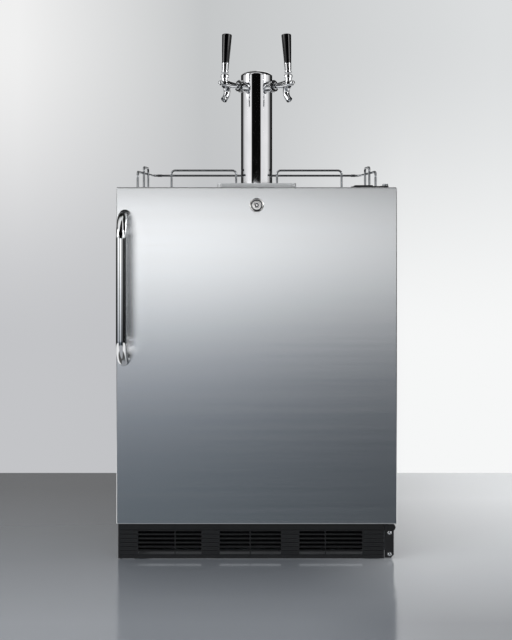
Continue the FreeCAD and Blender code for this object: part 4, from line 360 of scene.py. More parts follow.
def skin(bm, rings, closed=False):
    """A surface over rings of equally many places; open ends are filled."""
    made = [[bm.verts.new(Vector(place) * MM) for place in ring] for ring in rings]
    for low, high in zip(made, made[1:] + (made[:1] if closed else [])):
        for step in range(len(low)):
            after = (step + 1) % len(low)
            bm.faces.new((low[step], low[after], high[after], high[step]))
    if not closed:
        bm.faces.new(made[0])
        bm.faces.new(made[-1])


def placed(name, data):
    """A new object in the scene."""
    made = bpy.data.objects.new(name, data)
    bpy.context.scene.collection.objects.link(made)
    return made


def piece(name, shape, coat, body, *nodes):
    """Makes a piece from a bmesh or a mesh on its body; it stands for the nodes."""
    if isinstance(shape, bmesh.types.BMesh):
        bmesh.ops.recalc_face_normals(shape, faces=shape.faces)
        mesh = bpy.data.meshes.new(name)
        shape.to_mesh(mesh)
        shape.free()
    else:
        mesh = shape
    mesh.name = name
    mesh.shade_smooth()
    mesh.set_sharp_from_angle(angle=radians(32))
    if not mesh.materials:
        mesh.materials.append(finishes[coat])
    made = placed(name, mesh)
    made.modifiers.new("Even shading", "WEIGHTED_NORMAL").keep_sharp = True
    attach(made, body)
    if nodes:
        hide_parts(*nodes)


# ---- node trees for what repeats or follows a path ----


def new_tree(name, **sockets):
    """A geometry tree with its named inputs, and the places where they come in."""
    tree = bpy.data.node_groups.new(name, "GeometryNodeTree")
    sockets = {"Geometry": "Geometry", **sockets}
    for label, kind in sockets.items():
        tree.interface.new_socket(label, in_out="INPUT", socket_type=f"NodeSocket{kind}")
    tree.interface.new_socket("Geometry", in_out="OUTPUT", socket_type="NodeSocketGeometry")
    return tree, add(tree, "NodeGroupInput").outputs


def end_tree(tree, shape, material):
    """The tree's last nodes: real geometry with its finish."""
    whole = add(tree, "GeometryNodeRealizeInstances", {"Geometry": shape})
    painted = {"Geometry": whole.outputs[0], "Material": material}
    painted = add(tree, "GeometryNodeSetMaterial", painted)
    add(tree, "NodeGroupOutput", {"Geometry": painted.outputs[0]})
    return tree


def wire_tree():
    """A round wire or tube along a path of straight runs, with its corners bent to one radius."""
    tree, given = new_tree(
        "Bent wire", Wire="Float", Bend="Float", Steps="Int", Sides="Int", Finish="Material"
    )
    path = add(tree, "GeometryNodeMeshToCurve", {"Mesh": given["Geometry"]}).outputs[0]
    bent = {"Curve": path, "Count": given["Steps"], "Radius": given["Bend"], "Limit Radius": True}
    bent = add(tree, "GeometryNodeFilletCurve", bent, mode="POLY")
    ring = {"Resolution": given["Sides"], "Radius": given["Wire"]}
    ring = add(tree, "GeometryNodeCurvePrimitiveCircle", ring)
    swept = {"Curve": bent.outputs[0], "Profile Curve": ring.outputs[0], "Fill Caps": True}
    wire = add(tree, "GeometryNodeCurveToMesh", swept)
    return end_tree(tree, wire.outputs[0], given["Finish"])


def bar_tree():
    """Rows of equal bars: one row starts at each point of the seed."""
    tree, given = new_tree(
        "Row of bars", Run="Vector", Wide="Float", High="Float", Edge="Float", Count="Int",
        Step="Vector", Finish="Material",
    )
    line = add(tree, "GeometryNodeCurvePrimitiveLine", {"End": given["Run"]})
    section = {"Width": given["Wide"], "Height": given["High"]}
    section = add(tree, "GeometryNodeCurvePrimitiveQuadrilateral", section).outputs[0]
    soft = {"Curve": section, "Count": 2, "Radius": given["Edge"], "Limit Radius": True}
    soft = add(tree, "GeometryNodeFilletCurve", soft, mode="POLY")
    swept = {"Curve": line.outputs[0], "Profile Curve": soft.outputs[0], "Fill Caps": True}
    bar = add(tree, "GeometryNodeCurveToMesh", swept)
    row = add(tree, "GeometryNodeMeshLine", {"Count": given["Count"], "Offset": given["Step"]})
    bank = {"Points": row.outputs[0], "Instance": bar.outputs[0]}
    bank = add(tree, "GeometryNodeInstanceOnPoints", bank)
    banks = {"Points": given["Geometry"], "Instance": bank.outputs[0]}
    banks = add(tree, "GeometryNodeInstanceOnPoints", banks)
    return end_tree(tree, banks.outputs[0], given["Finish"])


def screw_tree():
    """Cross-recessed pan heads, one at each point of the seed, facing along one axis."""
    tree, given = new_tree(
        "Pan head screws", Head="Float", Rise="Float", Facing="Vector", Finish="Material"
    )
    dome = add(tree, "GeometryNodeMeshUVSphere", {"Segments": 24, "Rings": 12, "Radius": 1.0})
    squash = {"X": given["Head"], "Y": given["Head"], "Z": given["Rise"]}
    squash = add(tree, "ShaderNodeCombineXYZ", squash).outputs[0]
    head = add(tree, "GeometryNodeTransform", {"Geometry": dome.outputs[0], "Scale": squash})
    both = add(tree, "GeometryNodeJoinGeometry")
    for arm in ((1.1, 0.26, 1.1), (0.26, 1.1, 1.1)):
        tree.links.new(add(tree, "GeometryNodeMeshCube", {"Size": arm}).outputs[0], both.inputs[0])
    lift = add(tree, "ShaderNodeCombineXYZ", {"Z": given["Rise"]})
    tool = {"Geometry": both.outputs[0], "Scale": squash, "Translation": lift.outputs[0]}
    tool = add(tree, "GeometryNodeTransform", tool)
    cut = {0: head.outputs[0], 1: tool.outputs[0]}
    cut = add(tree, "GeometryNodeMeshBoolean", cut, operation="DIFFERENCE")
    facing = {"Vector": given["Facing"]}
    facing = add(tree, "FunctionNodeAlignRotationToVector", facing, axis="Z")
    heads = {"Points": given["Geometry"], "Instance": cut.outputs[0], "Rotation": facing.outputs[0]}
    heads = add(tree, "GeometryNodeInstanceOnPoints", heads)
    return end_tree(tree, heads.outputs[0], given["Finish"])


def grow(name, tree, runs, coat, body, *nodes, **given):
    """Makes a piece that a tree grows from runs of points; a run of one point stands alone."""
    seed_mesh = bpy.data.meshes.new("Seed")
    points, edges = [], []
    for run in runs:
        edges += [(len(points) + k, len(points) + k + 1) for k in range(len(run) - 1)]
        points += [Vector(point) * MM for point in run]
    seed_mesh.from_pydata(points, edges, [])
    seed = placed("Seed", seed_mesh)
    modifier = seed.modifiers.new("Grow", "NODES")
    modifier.node_group = tree
    given["Finish"] = finishes[coat]
    for item in tree.interface.items_tree:
        if item.in_out == "INPUT" and item.name in given:
            modifier[item.identifier] = given[item.name]
    graph = bpy.context.evaluated_depsgraph_get()
    mesh = bpy.data.meshes.new_from_object(seed.evaluated_get(graph), depsgraph=graph)
    seed.modifiers.remove(modifier)
    bpy.data.objects.remove(seed)
    if not mesh.polygons:
        raise RuntimeError(f"{tree.name} grew nothing")
    piece(name, mesh, coat, body, *nodes)


# ---- operators ----


class DISPENSER_OT_finishes(bpy.types.Operator):
    """Mixes the finishes and puts them on the CAD frame's own pieces"""

    bl_idname = "dispenser.finishes"
    bl_label = "Finishes"

    def execute(self, context):
        make_finishes(context.scene.dispenser_colours)
        for name, nodes in NODE_FINISHES.items():
            for node in nodes:
                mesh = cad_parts[node].data
                mesh.materials.clear()
                mesh.materials.append(finishes[name])
        bare = set(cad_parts) - {node for nodes in NODE_FINISHES.values() for node in nodes}
        if bare:
            raise RuntimeError(f"No finish for {sorted(bare)}")
        return {"FINISHED"}


class DISPENSER_OT_column(bpy.types.Operator):
    """Builds the polished draught column with its domed cap and base flange"""

    bl_idname = "dispenser.column"
    bl_label = "Draught column"

    def execute(self, context):
        wide = context.scene.dispenser_sizes.column / MM
        foot, rim, bore = 805, 1075, 30
        bm = bmesh.new()
        wall = [(foot, wide - 1.5), (foot, wide, 0.4), (rim, wide), (rim, wide - 1.5)]
        turned(bm, wall, COLUMN, Z, 128, closed=True)
        piece("column_shell", bm, "polished_stainless", "cabinet", "column_tube")
        bm = bmesh.new()
        dome = [(1059, 0), (1059, wide - 2), (rim, wide - 2), (rim, wide)]
        for rise in range(0, 90, 6):
            dome.append((rim + 1 + 12 * sin(radians(rise)), wide * cos(radians(rise))))
        turned(bm, dome + [(rim + 13, 0)], COLUMN, Z, 128)
        piece("column_dome", bm, "polished_stainless", "cabinet", "column_cap")
        bm = bmesh.new()
        flange = [(WORKTOP, bore), (WORKTOP, 54, 0.5), (804.2, 54, 1.4), (foot, 42, 1)]
        flange += [(806.5, wide + 0.6, 1), (806.5, bore)]
        turned(bm, flange, COLUMN, Z, 96, closed=True)
        collar = [(806, bore), (806, 35.8), (825, 35.8), (825, bore)]
        turned(bm, collar, COLUMN, Z, 64, closed=True)
        piece("column_flange", bm, "polished_stainless", "cabinet", "column_base")
        turns = [radians(45 + 90 * quarter) for quarter in range(4)]
        ring = [[COLUMN + Vector((46 * cos(t), 46 * sin(t), 804.6))] for t in turns]
        grow(
            "flange_screws", screw_tree(), ring, "zinc_plate", "cabinet", Head=0.0036, Rise=0.0018,
            Facing=(0, 0, 1),
        )
        return {"FINISHED"}


def faucet_spot(side, along, above):
    """A place on a faucet: along it from the column's axis, and above its own axis."""
    way = Vector((side, -1, 0)).normalized()
    return COLUMN + way * along + Z * (FAUCET_AXIS + above)


def faucet_fittings(side, way, shanks, seals, nuts, bonnets):
    """Turns one faucet's small round fittings."""
    axis = faucet_spot(side, 0, 0)
    saddle = [(34, 0), (34, 12.8), (51.4, 12.8, 0.5), (52, 12, 0.3), (52, 9), (64, 8), (64, 0)]
    turned(shanks, saddle, axis, way, 72)
    nut = [(52.5, 8.6), (52.5, 14, 0.3), (53.4, 14.9, 0.4), (55.4, 14.9, 0.3)]
    nut += [(55.9, 14.2, 0.2), (56.6, 14.2, 0.2), (57.1, 14.9, 0.3), (59.6, 14.9, 0.5)]
    nut += [(60.6, 13.6, 0.4), (60.8, 10.6, 0.3), (60.8, 8.6)]
    turned(nuts, nut, axis, way, 96, closed=True)
    gasket = [(60.4, 8.2), (60.4, 13, 0.1), (61.2, 13, 0.3), (61.7, 11.6, 0.3), (61.7, 8.2)]
    turned(seals, gasket, axis, way, 72, closed=True)
    bonnet = [(0, 7.2), (0, 9, 0.3), (0.8, 9.8, 0.6), (6, 9.8, 1.4), (8.2, 9, 1.2)]
    bonnet += [(9.3, 7.4, 0.5), (9.3, 6.4, 0.3), (6, 6.4)]
    turned(bonnets, bonnet, faucet_spot(side, LEVER_REACH, 15), Z, 64, closed=True)


def faucet_body(name, side, way):
    """Turns one faucet's barrel, nose and neck and lofts its spout."""
    bm = bmesh.new()
    barrel = [(60, 0), (60, 8.4), (62.2, 8.4, 0.6), (63, 6.6, 0.6), (67, 6.4, 3)]
    barrel += [(96, 10.2, 12), (109, 10, 4), (114.5, 6, 1.2), (117, 4.4, 1), (117, 0)]
    turned(bm, barrel, faucet_spot(side, 0, 0), way, 72, steps=6)
    turns = [radians(degrees) for degrees in range(0, 181, 12)]
    nose = [(-6.2 * cos(t), 6.2 * sin(t)) for t in turns]
    turned(bm, nose, faucet_spot(side, 119, 2.6), way, 48)
    neck = [(-4, 0), (-4, 8.4), (7, 8.4, 2), (9, 7.2, 1.5), (15, 7.2, 0.3), (15, 5), (12, 5)]
    turned(bm, neck + [(12, 0)], faucet_spot(side, LEVER_REACH, 0), Z, 56)
    loft(bm, faucet_spout(side, way), Z.cross(way).normalized(), 56)
    piece(f"cast_body_{name}", bm, "bright_chrome", "cabinet", f"faucet_body_{name}")


def faucet_spout(side, way):
    """The spout's stations, down one curve and back up its blind mouth."""
    bend = [Vector(point) for point in ((105.5, 2), (95.5, -15), (96.5, -24), (109.5, -37))]
    stations = []
    for step in range(29):
        t = step / 28
        share = ((1 - t) ** 3, 3 * t * (1 - t) ** 2, 3 * t**2 * (1 - t), t**3)
        lean = (-((1 - t) ** 2), (1 - t) * (1 - 3 * t), t * (2 - 3 * t), t**2)
        place, slope = (
            sum((point * part for point, part in zip(bend, parts)), Vector((0, 0)))
            for parts in (share, lean)
        )
        along = (way * slope.x + Z * slope.y).normalized()
        radius = 8.8 - 1.4 * sin(pi * min(t * 1.25, 1) / 2)
        if t > 0.86:
            radius = 7.4 + 0.5 * (t - 0.86) / 0.14
        stations.append((faucet_spot(side, place.x, place.y), along, radius))
    root, (place, along, radius) = stations[0][:2], stations.pop()
    stations[0] = (*root, 7.0)
    stations.insert(0, (*root, 0))
    mouth = [(0, radius - 0.3), (0.3, radius - 0.7), (0.3, 5.5), (-0.2, 5.2)]
    mouth += [(-9, 5.2), (-9, 0)]
    return stations + [(place + along * out, along, wide) for out, wide in mouth]


def faucet_lever(name, side, way, sizes):
    """Turns one lever with its ball and ferrule, and the tap handle on it."""
    ball, lean = faucet_spot(side, LEVER_REACH, BALL_RISE), radians(4)
    axis = Z * cos(lean) - way * sin(lean)
    bm = bmesh.new()
    arm = [(-19.5, 0), (-19.5, 2.2, 0.6), (-5.2, 2.2)]
    arm += [(5.6 * sin(a), 5.6 * cos(a)) for a in (radians(-60 + 10 * k) for k in range(13))]
    arm += [(6.7, 3.4), (6.7, 8.8, 0.3), (7.6, 8.8, 0.3), (7.9, 7.3, 0.1), (8.2, 7.9, 0.3)]
    arm += [(10.8, 7.9, 0.4), (11.4, 6.9, 0.2), (12.2, 6.9, 0.2), (12.6, 7.6, 0.3)]
    arm += [(20, 7.9, 8), (27.2, 8.3, 0.3), (27.7, 9.0, 0.3), (29.2, 9.0, 0.4)]
    arm += [(29.6, 8.4, 0.2), (29.6, 0)]
    turned(bm, arm, ball, axis, 64)
    body = f"lever_{name}"
    piece(f"lever_arm_{name}", bm, "bright_chrome", body, body)
    bm = bmesh.new()
    low, high = sizes.grip_low / MM, sizes.grip_high / MM
    grip = [(29.7, 0), (29.7, low, 0.6), (33, low + 0.1, 6), (60, (low + high) / 2, 40)]
    grip += [(95.5, high, 3), (97.6, high - 0.2, 1.6), (98.7, high - 2.4, 2.5)]
    grip += [(99.6, 3, 6), (99.6, 0)]
    turned(bm, grip, ball, axis, 64, steps=6)
    piece(f"grip_{name}", bm, "lacquered_phenolic", body, f"tap_handle_{name}")


class DISPENSER_OT_faucets(bpy.types.Operator):
    """Builds both faucets: shank, coupling nut, cast body, bonnet, lever and tap handle"""

    bl_idname = "dispenser.faucets"
    bl_label = "Faucets"

    def execute(self, context):
        shanks, seals, nuts, bonnets = (bmesh.new() for kind in range(4))
        for name, side in SIDES.items():
            way = faucet_spot(side, 1, 0) - faucet_spot(side, 0, 0)
            faucet_fittings(side, way, shanks, seals, nuts, bonnets)
            faucet_body(name, side, way)
            faucet_lever(name, side, way, context.scene.dispenser_sizes)
        piece("shanks", shanks, "bright_chrome", "cabinet", "faucet_shanks")
        piece("nut_gaskets", seals, "black_nylon", "cabinet")
        piece("nuts", nuts, "bright_chrome", "cabinet", "coupling_nuts")
        piece("bonnet_caps", bonnets, "bright_chrome", "cabinet", "bonnets")
        return {"FINISHED"}


class DISPENSER_OT_door(bpy.types.Operator):
    """Builds the brushed door skin with its folded edges, and the lock"""

    bl_idname = "dispenser.door"
    bl_label = "Door skin and lock"

    def execute(self, context):
        bm = bmesh.new()
        half, foot, head, folded_back = 300, 79.5, 799.8, -220.5

        def ahead(edge):
            return min(vert.co.y for vert in edge.verts) < (FRONT + 1) * MM

        slab(bm, (-half, FRONT, foot), (half, folded_back, head), 2.2, 4, ahead)
        piece("brushed_skin", bm, "brushed_stainless", "door", "door_skin")
        bm = bmesh.new()
        lock = Vector((0, FRONT, 761.4))
        bezel = [(0, 12.2), (0, 15.4, 0.1), (-0.9, 15.4, 0.5), (-1.7, 13.7, 0.5), (-1, 12.2)]
        turned(bm, bezel, lock, Y, 72, closed=True)
        barrel = [(56, 5.7), (56, 9.2), (0, 9.9), (-1.9, 9.9, 0.4), (-2.2, 9.2, 0.3)]
        turned(bm, barrel + [(-2.25, 6.4, 0.4), (-1.9, 5.7)], lock, Y, 72, closed=True)
        piece("lock_bezel", bm, "nickelled_zinc", "door", "lock_body")
        # A dark ring between the bezel and the barrel: painted shade, a dark piece put where the
        # lock's edge is in shade.
        bm = bmesh.new()
        seal = [(-0.2, 9.6), (-0.2, 12.9), (-0.8, 12.9), (-1.1, 11.4, 1), (-0.8, 9.6)]
        turned(bm, seal, lock, Y, 72, closed=True)
        piece("lock_shade_ring", bm, "gasket_pvc", "door")
        bm = bmesh.new()
        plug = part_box("lock_plug")[0].y / MM - FRONT
        guide = [(plug, 2.2), (plug, 4.6), (plug - 0.3, 4.6, 0.1), (plug - 0.3, 2.2)]
        turned(bm, guide, lock, Y, 48, closed=True)
        piece("key_guide", bm, "black_abs", "lock")
        return {"FINISHED"}


class DISPENSER_OT_handle(bpy.types.Operator):
    """Bends the towel-bar handle"""

    bl_idname = "dispenser.handle"
    bl_label = "Towel bar"

    def execute(self, context):
        sizes = context.scene.dispenser_sizes
        x, low, high, crown = -282, 430, 741, FRONT - 53
        path = [(x, FRONT, low), (x, crown, low), (x, crown, high), (x, FRONT, high)]
        grow(
            "towel_bar", wire_tree(), [path], "bright_chrome", "door", "towel_handle",
            Wire=sizes.handle_bar, Bend=sizes.handle_bend, Steps=24, Sides=48,
        )
        return {"FINISHED"}


class DISPENSER_OT_rails(bpy.types.Operator):
    """Bends the guard rail's wires and sets their sleeves and cups"""

    bl_idname = "dispenser.rails"
    bl_label = "Guard rail"

    def execute(self, context):
        sizes = context.scene.dispenser_sizes
        tree = wire_tree()
        wide, front, rear, high, joint, loop = 285.6, -18.5, 303.5, 841, 265.6, 855

        def wire(name, paths, bend, node):
            grow(
                name, tree, paths, "chromed_wire", "cabinet", node, Wire=sizes.rail_wire, Bend=bend,
                Steps=10, Sides=20,
            )

        loops, feet = [], []
        for name, side in SIDES.items():
            x = wide * side
            path = [(x, front, WORKTOP), (x, front, high), (x, rear, high)]
            path.append((joint * side, rear, high))
            wire(f"rail_wire_{name}", [path], sizes.rail_bend, f"rail_{name}")
            feet.append((x, front))
        path = [(joint * side, rear, high) for side in SIDES.values()]
        wire("rail_wire_rear", [path], sizes.rail_bend, "rail_rear")
        for side in SIDES.values():
            beside = (280.2 * side, 61.5), (280.2 * side, 150.5)
            behind = (56 * side, 298.1), (233 * side, 298.1)
            for start, end in (beside, behind):
                loops.append([(*start, WORKTOP), (*start, loop), (*end, loop), (*end, WORKTOP)])
                feet += start, end
        wire("rail_hoops", loops, sizes.loop_bend, "rail_loops")
        bm = bmesh.new()
        cup = [(0, 2.6), (0, 6, 0.3), (1.6, 6, 0.8), (4, 3.6, 0.8), (4, 2.6)]
        for x, y in feet:
            turned(bm, cup, Vector((x, y, WORKTOP)), Z, 32, closed=True)
        sleeve = [(-6, 2.6), (-6, 3.6, 0.5), (6, 3.6, 0.5), (6, 2.6)]
        for spot in path:
            turned(bm, sleeve, Vector(spot), X, 32, closed=True)
        piece("rail_cups", bm, "chromed_wire", "cabinet", "rail_fittings")
        return {"FINISHED"}


class DISPENSER_OT_tray(bpy.types.Operator):
    """Presses the drip tray and cuts its lift-out grate"""

    bl_idname = "dispenser.tray"
    bl_label = "Drip tray"

    def execute(self, context):
        low, high = (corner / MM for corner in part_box("drip_tray"))
        floor, rim, tray = low.z, high.z, (low.x, low.y, high.x, high.y, 12)

        def ring(inset, height, outline=tray):
            x0, y0, x1, y1, corner = outline
            plan = rounded((x0 + inset, y0 + inset), (x1 - inset, y1 - inset), corner - inset)
            return [(x, y, height) for x, y in plan]

        wall = [(2, floor), (0.6, floor + 0.5), (0, floor + 1.6), (0, rim - 0.8), (0.25, rim)]
        wall += [(0.95, rim), (1.2, rim - 0.6), (1.2, floor + 3), (1.8, floor + 1.9)]
        bm = bmesh.new()
        skin(bm, [ring(*point) for point in wall + [(3, floor + 1.3)]])
        stud = [(0, 0), (0, 3), (5.2, 3, 0.6), (5.7, 0)]
        for x in (low.x + 16, high.x - 16):
            for y in (low.y + 16, high.y - 16):
                turned(bm, stud, Vector((x, y, floor + 1.2)), Z, 20)
        piece("tray_pan", bm, "pressed_stainless", "drip_tray", "drip_tray")
        under, over = (corner.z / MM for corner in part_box("drip_grate"))
        slots, pitch, wide, margin = 15, 8, 4, 15.8
        span = (slots - 1) * pitch + wide
        middle = (low.y + high.y) / 2
        left, right = low.x + margin, high.x - margin
        near, far = middle - span / 2, middle + span / 2
        hole = left, near, right, far, 1
        bm = bmesh.new()
        rings = [ring(1.8, under), ring(1.8, over - 0.4), ring(2.2, over), ring(-0.4, over, hole)]
        rings += [ring(0, over - 0.4, hole), ring(0, under, hole)]
        skin(bm, rings, closed=True)
        piece("grate_frame", bm, "pressed_stainless", "drip_grate", "drip_grate")
        start = (left - 0.2, near + wide * 1.5, (under + over) / 2)
        grow(
            "grate_bars", bar_tree(), [[start]], "pressed_stainless", "drip_grate",
            Run=((right - left + 0.4) * MM, 0, 0), Wide=wide * MM, High=(over - under) * MM,
            Edge=0.0004, Count=slots - 1, Step=(0, pitch * MM, 0),
        )
        return {"FINISHED"}


class DISPENSER_OT_seal(bpy.types.Operator):
    """Extrudes the door's magnetic seal with its lip, bellows and magnet pocket"""

    bl_idname = "dispenser.seal"
    bl_label = "Door seal"

    def execute(self, context):
        low, high = (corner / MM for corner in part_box("door_gasket"))
        back, front, wide = high.y, low.y, 13
        half = [(0, front), (0, front + 1.2), (1.8, front + 2.1), (1.8, front + 2.9)]
        half += [(0.4, front + 3.7), (0.2, back - 0.8), (1, back)]
        rings = []
        for inset, y in half + [(wide - inset, y) for inset, y in reversed(half)]:
            start, end = (low.x + inset, low.z + inset), (high.x - inset, high.z - inset)
            rings.append([(x, y, z) for x, z in rounded(start, end, 0.6, 1)])
        bm = bmesh.new()
        skin(bm, rings, closed=True)
        piece("door_seal", bm, "gasket_pvc", "door", "door_gasket")
        return {"FINISHED"}


class DISPENSER_OT_grille(bpy.types.Operator):
    """Builds the kick grille: a windowed plate, slats in its windows and ribs across it"""

    bl_idname = "dispenser.grille"
    bl_label = "Kick grille"

    def execute(self, context):
        sizes = context.scene.dispenser_sizes
        pitch, rows = sizes.slot_pitch / MM, sizes.slot_rows
        vents = (-255, -176.7), (-174.3, -119), (-79.5, -15.2), (-12.8, 52), (92, 146.4)
        vents += ((148.8, 227),)
        left_end, right_end, back, foot, top, slot = -298, 274, -249.5, 1.5, 78, 5
        low, high, bar = 10.5, 10.5 + pitch * (rows - 1) + slot, pitch - slot
        stops = sorted({left_end, right_end} | {x for vent in vents for x in vent})
        bm = bmesh.new()
        for left, right in zip(stops, stops[1:]):
            if (left, right) in vents:
                slab(bm, (left - 0.2, GRILLE, foot), (right + 0.2, back, low))
                slab(bm, (left - 0.2, GRILLE, high), (right + 0.2, back, top))
            else:
                slab(bm, (left, GRILLE, foot), (right, back, top))
        slab(bm, (left_end, -249.6, 9), (-295, MOUTH, top), 0.8)
        piece("grille_plate", bm, "black_powder_coat", "cabinet", "kick_grille")
        tree = bar_tree()

        def bars(name, start, run, wide, high, edge, count):
            grow(
                name, tree, [[start]], "black_powder_coat", "cabinet", Run=(run * MM, 0, 0),
                Wide=wide * MM, High=high * MM, Edge=edge * MM, Count=count,
                Step=(0, 0, sizes.slot_pitch),
            )

        for place, (left, right) in enumerate(vents, 1):
            left, run = left - 0.2, right - left + 0.4
            slat, blade = (left, GRILLE + 1.6, low + slot + bar / 2), (left, GRILLE + 10, low - 0.6)
            bars(f"grille_slats_{place}", slat, run, 2.8, bar, 0.9, rows - 1)
            bars(f"grille_blades_{place}", blade, run, 14, 1.2, 0.4, rows)
        rib = (left_end, GRILLE - 0.2, low - bar / 2)
        bars("grille_ribs", rib, right_end - left_end, 1.4, 1.4, 0.5, rows + 1)
        return {"FINISHED"}


class DISPENSER_OT_hinges(bpy.types.Operator):
    """Sets the screws of the lower hinge bracket"""

    bl_idname = "dispenser.hinges"
    bl_label = "Hinge screws"

    def execute(self, context):
        spots = [[(286, GRILLE - 0.1, height)] for height in (10.5, 56.5)]
        grow(
            "bracket_screws", screw_tree(), spots, "zinc_plate", "cabinet", "lower_hinge_screws",
            Head=0.0046, Rise=0.0025, Facing=(0, -1, 0),
        )
        return {"FINISHED"}


# ---- stage ----

# What polished metal shows. Shades by degrees round from the front, positive to the right:
RINGS = {
    "boxes": (
        (-126, 0.01), (-98, 0.8), (-60, 1), (-40, 1), (-35, 0.003), (28, 0.003), (33, 0.9),
        (84, 0.95), (122, 0.01),
    ),
    "right": ((56, 0), (62, 1)),
    # Narrow strip lights, which give the tap handles their bright lines.
    "strips": (
        (-82, 0), (-77, 7.5), (-66, 7.5), (-61, 0), (48, 0), (53, 7.5), (62, 7.5), (67, 0),
    ),
    "wall": ((-165, 0.5), (-140, 0), (140, 0), (165, 1.1)),
    "cards": (
        (-160, 0.7), (-145, 0.03), (-78, 0.03), (-68, 1), (-40, 1), (-36, 0.05), (-24, 0.05),
        (-19, 1.35), (-4, 1.25), (6, 0.6), (24, 0.3), (36, 0.3), (46, 0.03), (145, 0.03),
        (160, 0.7),
    ),
    "shade": ((-8, 1.05), (0, 0.84), (8, 0.6)),
    "aside": ((-60, 1), (-40, 0), (40, 0), (60, 1)),
}
RISING, FALLING = ((0, 0), (1, 1)), ((0, 1), (1, 0))
# Shades by height, between two values of the direction's rise:
LEVELS = {
    "high": (0.28, 0.34, *RISING),
    "gap": (0, 1, (0.15, 1), (0.16, 0.1), (0.4, 0.1), (0.43, 1)),
    "grip light": (0, 0.5, (0.22, 0), (0.28, 1), (0.8, 1), (0.9, 0)),
    "beyond": (0, 1, (0.2, 0), (0.26, 1), (0.5, 1), (0.6, 0)),
    # Light that falls off downwards, which shades the door from top to foot.
    "fall": (
        -0.36, 0.04, (0.1, linear("#565f66")), (0.3, linear("#6f767f")), (0.5, linear("#a7acb4")),
        (0.66, linear("#f2f5f7")), (0.75, (1.25, 1.26, 1.27, 1)), (0.85, (1.5, 1.51, 1.52, 1)),
    ),
    "above shade": (-0.16, -0.09, *RISING),
    "deep": (-0.46, -0.38, *FALLING),
    "low": (-0.26, -0.2, *FALLING),
    "sides": (-0.8, -0.2, (0.15, 0.1), (0.24, 1), (0.9, 1), (1, 0.6)),
    "horizon": (0.02, 0.0215, *RISING),
    "zenith": (0.965, 0.985, *RISING),
}
# How they are laid over each other: each from a share, what is under it and what goes over it.
LAYERS = (
    ("right", "MULTIPLY", 1, "right", "high"),
    ("boxes", "MIX", "right", "boxes", (0.02, 0.02, 0.02, 1)),
    ("boxes", "MULTIPLY", 1, "boxes", "gap"),
    ("strips", "MULTIPLY", 1, "strips", "grip light"),
    ("upper", "ADD", 1, "boxes", "strips"),
    ("wall", "MULTIPLY", 1, "wall", "beyond"),
    ("upper", "ADD", 1, "upper", "wall"),
    ("lower", "MULTIPLY", 1, "cards", "fall"),
    ("shade", "MIX", "above shade", "shade", (1, 1, 1, 1)),
    ("lower", "MULTIPLY", 1, "lower", "shade"),
    ("lower", "MIX", "deep", "lower", (0.42, 0.43, 0.45, 1)),
    ("aside", "MULTIPLY", 1, "aside", "low"),
    ("lower", "MIX", "aside", "lower", "sides"),
    ("around", "MIX", "horizon", "lower", "upper"),
    ("around", "MIX", "zenith", "around", (0.8, 0.8, 0.8, 1)),
)


def stage_sheet(name, corners, coat):
    """A flat stage piece with an empty material; returns the material's tree and its place."""
    bm = bmesh.new()
    bm.faces.new([bm.verts.new(corner) for corner in corners])
    mesh = bpy.data.meshes.new(name)
    bm.to_mesh(mesh)
    bm.free()
    made = placed(name, mesh)
    made.visible_glossy = False
    paint = bpy.data.materials.new(coat)
    paint.use_nodes = True
    paint.node_tree.nodes.clear()
    mesh.materials.append(paint)
    spot = add(paint.node_tree, "ShaderNodeTexCoord").outputs["Object"]
    return paint.node_tree, add(paint.node_tree, "ShaderNodeSeparateXYZ", {0: spot}).outputs


def two_way_tint(tree, part, along, across, *ramps):
    """Two rows of colours along one direction, blended smoothly across another."""
    shares, rows = [], []
    for (axis, low, high), ease in ((along, "LINEAR"), (across, "SMOOTHSTEP")):
        span = {"Value": part[axis], "From Min": low, "From Max": high}
        shares.append(add(tree, "ShaderNodeMapRange", span, interpolation_type=ease).outputs[0])
    for stops in ramps:
        stops = [(at, linear(code)) for at, code in stops]
        rows.append(add(tree, "ShaderNodeValToRGB", {"Fac": shares[0]}, stops).outputs[0])
    inputs = {0: shares[1], 6: rows[0], 7: rows[1]}
    return add(tree, "ShaderNodeMix", inputs, data_type="RGBA").outputs[2]


def lay_floor():
    """A pale blue-grey vinyl floor, with painted shade on its left and painted light on its right,
    both towards the wall.
    """
    corners = [(9 * x, 9 * y, 0) for x, y in ((-1, -1), (1, -1), (1, 1), (-1, 1))]
    tree, part = stage_sheet("studio_floor", corners, "floor_vinyl")
    # Painted shade: the left row darkens towards the wall. Painted light: the right row brightens
    # towards it.
    left = (0.32, "#868a8f"), (0.47, "#696d72"), (0.72, "#404347"), (0.8, "#404347")
    right = (0.32, "#6c7075"), (0.5, "#b2b5b8"), (0.68, "#eceeef"), (0.8, "#eceeef")
    rear = ((0.9, "#b4b7ba"),)
    spans = ("Y", -1.2, 0.8), ("X", 0.05, 0.4)
    tint = two_way_tint(tree, part, *spans, left + rear, right + rear)
    vinyl = {"Base Color": tint, "Roughness": 0.13, "IOR": 2.0}
    vinyl = add(tree, "ShaderNodeBsdfPrincipled", vinyl)
    add(tree, "ShaderNodeOutputMaterial", {"Surface": vinyl.outputs[0]})


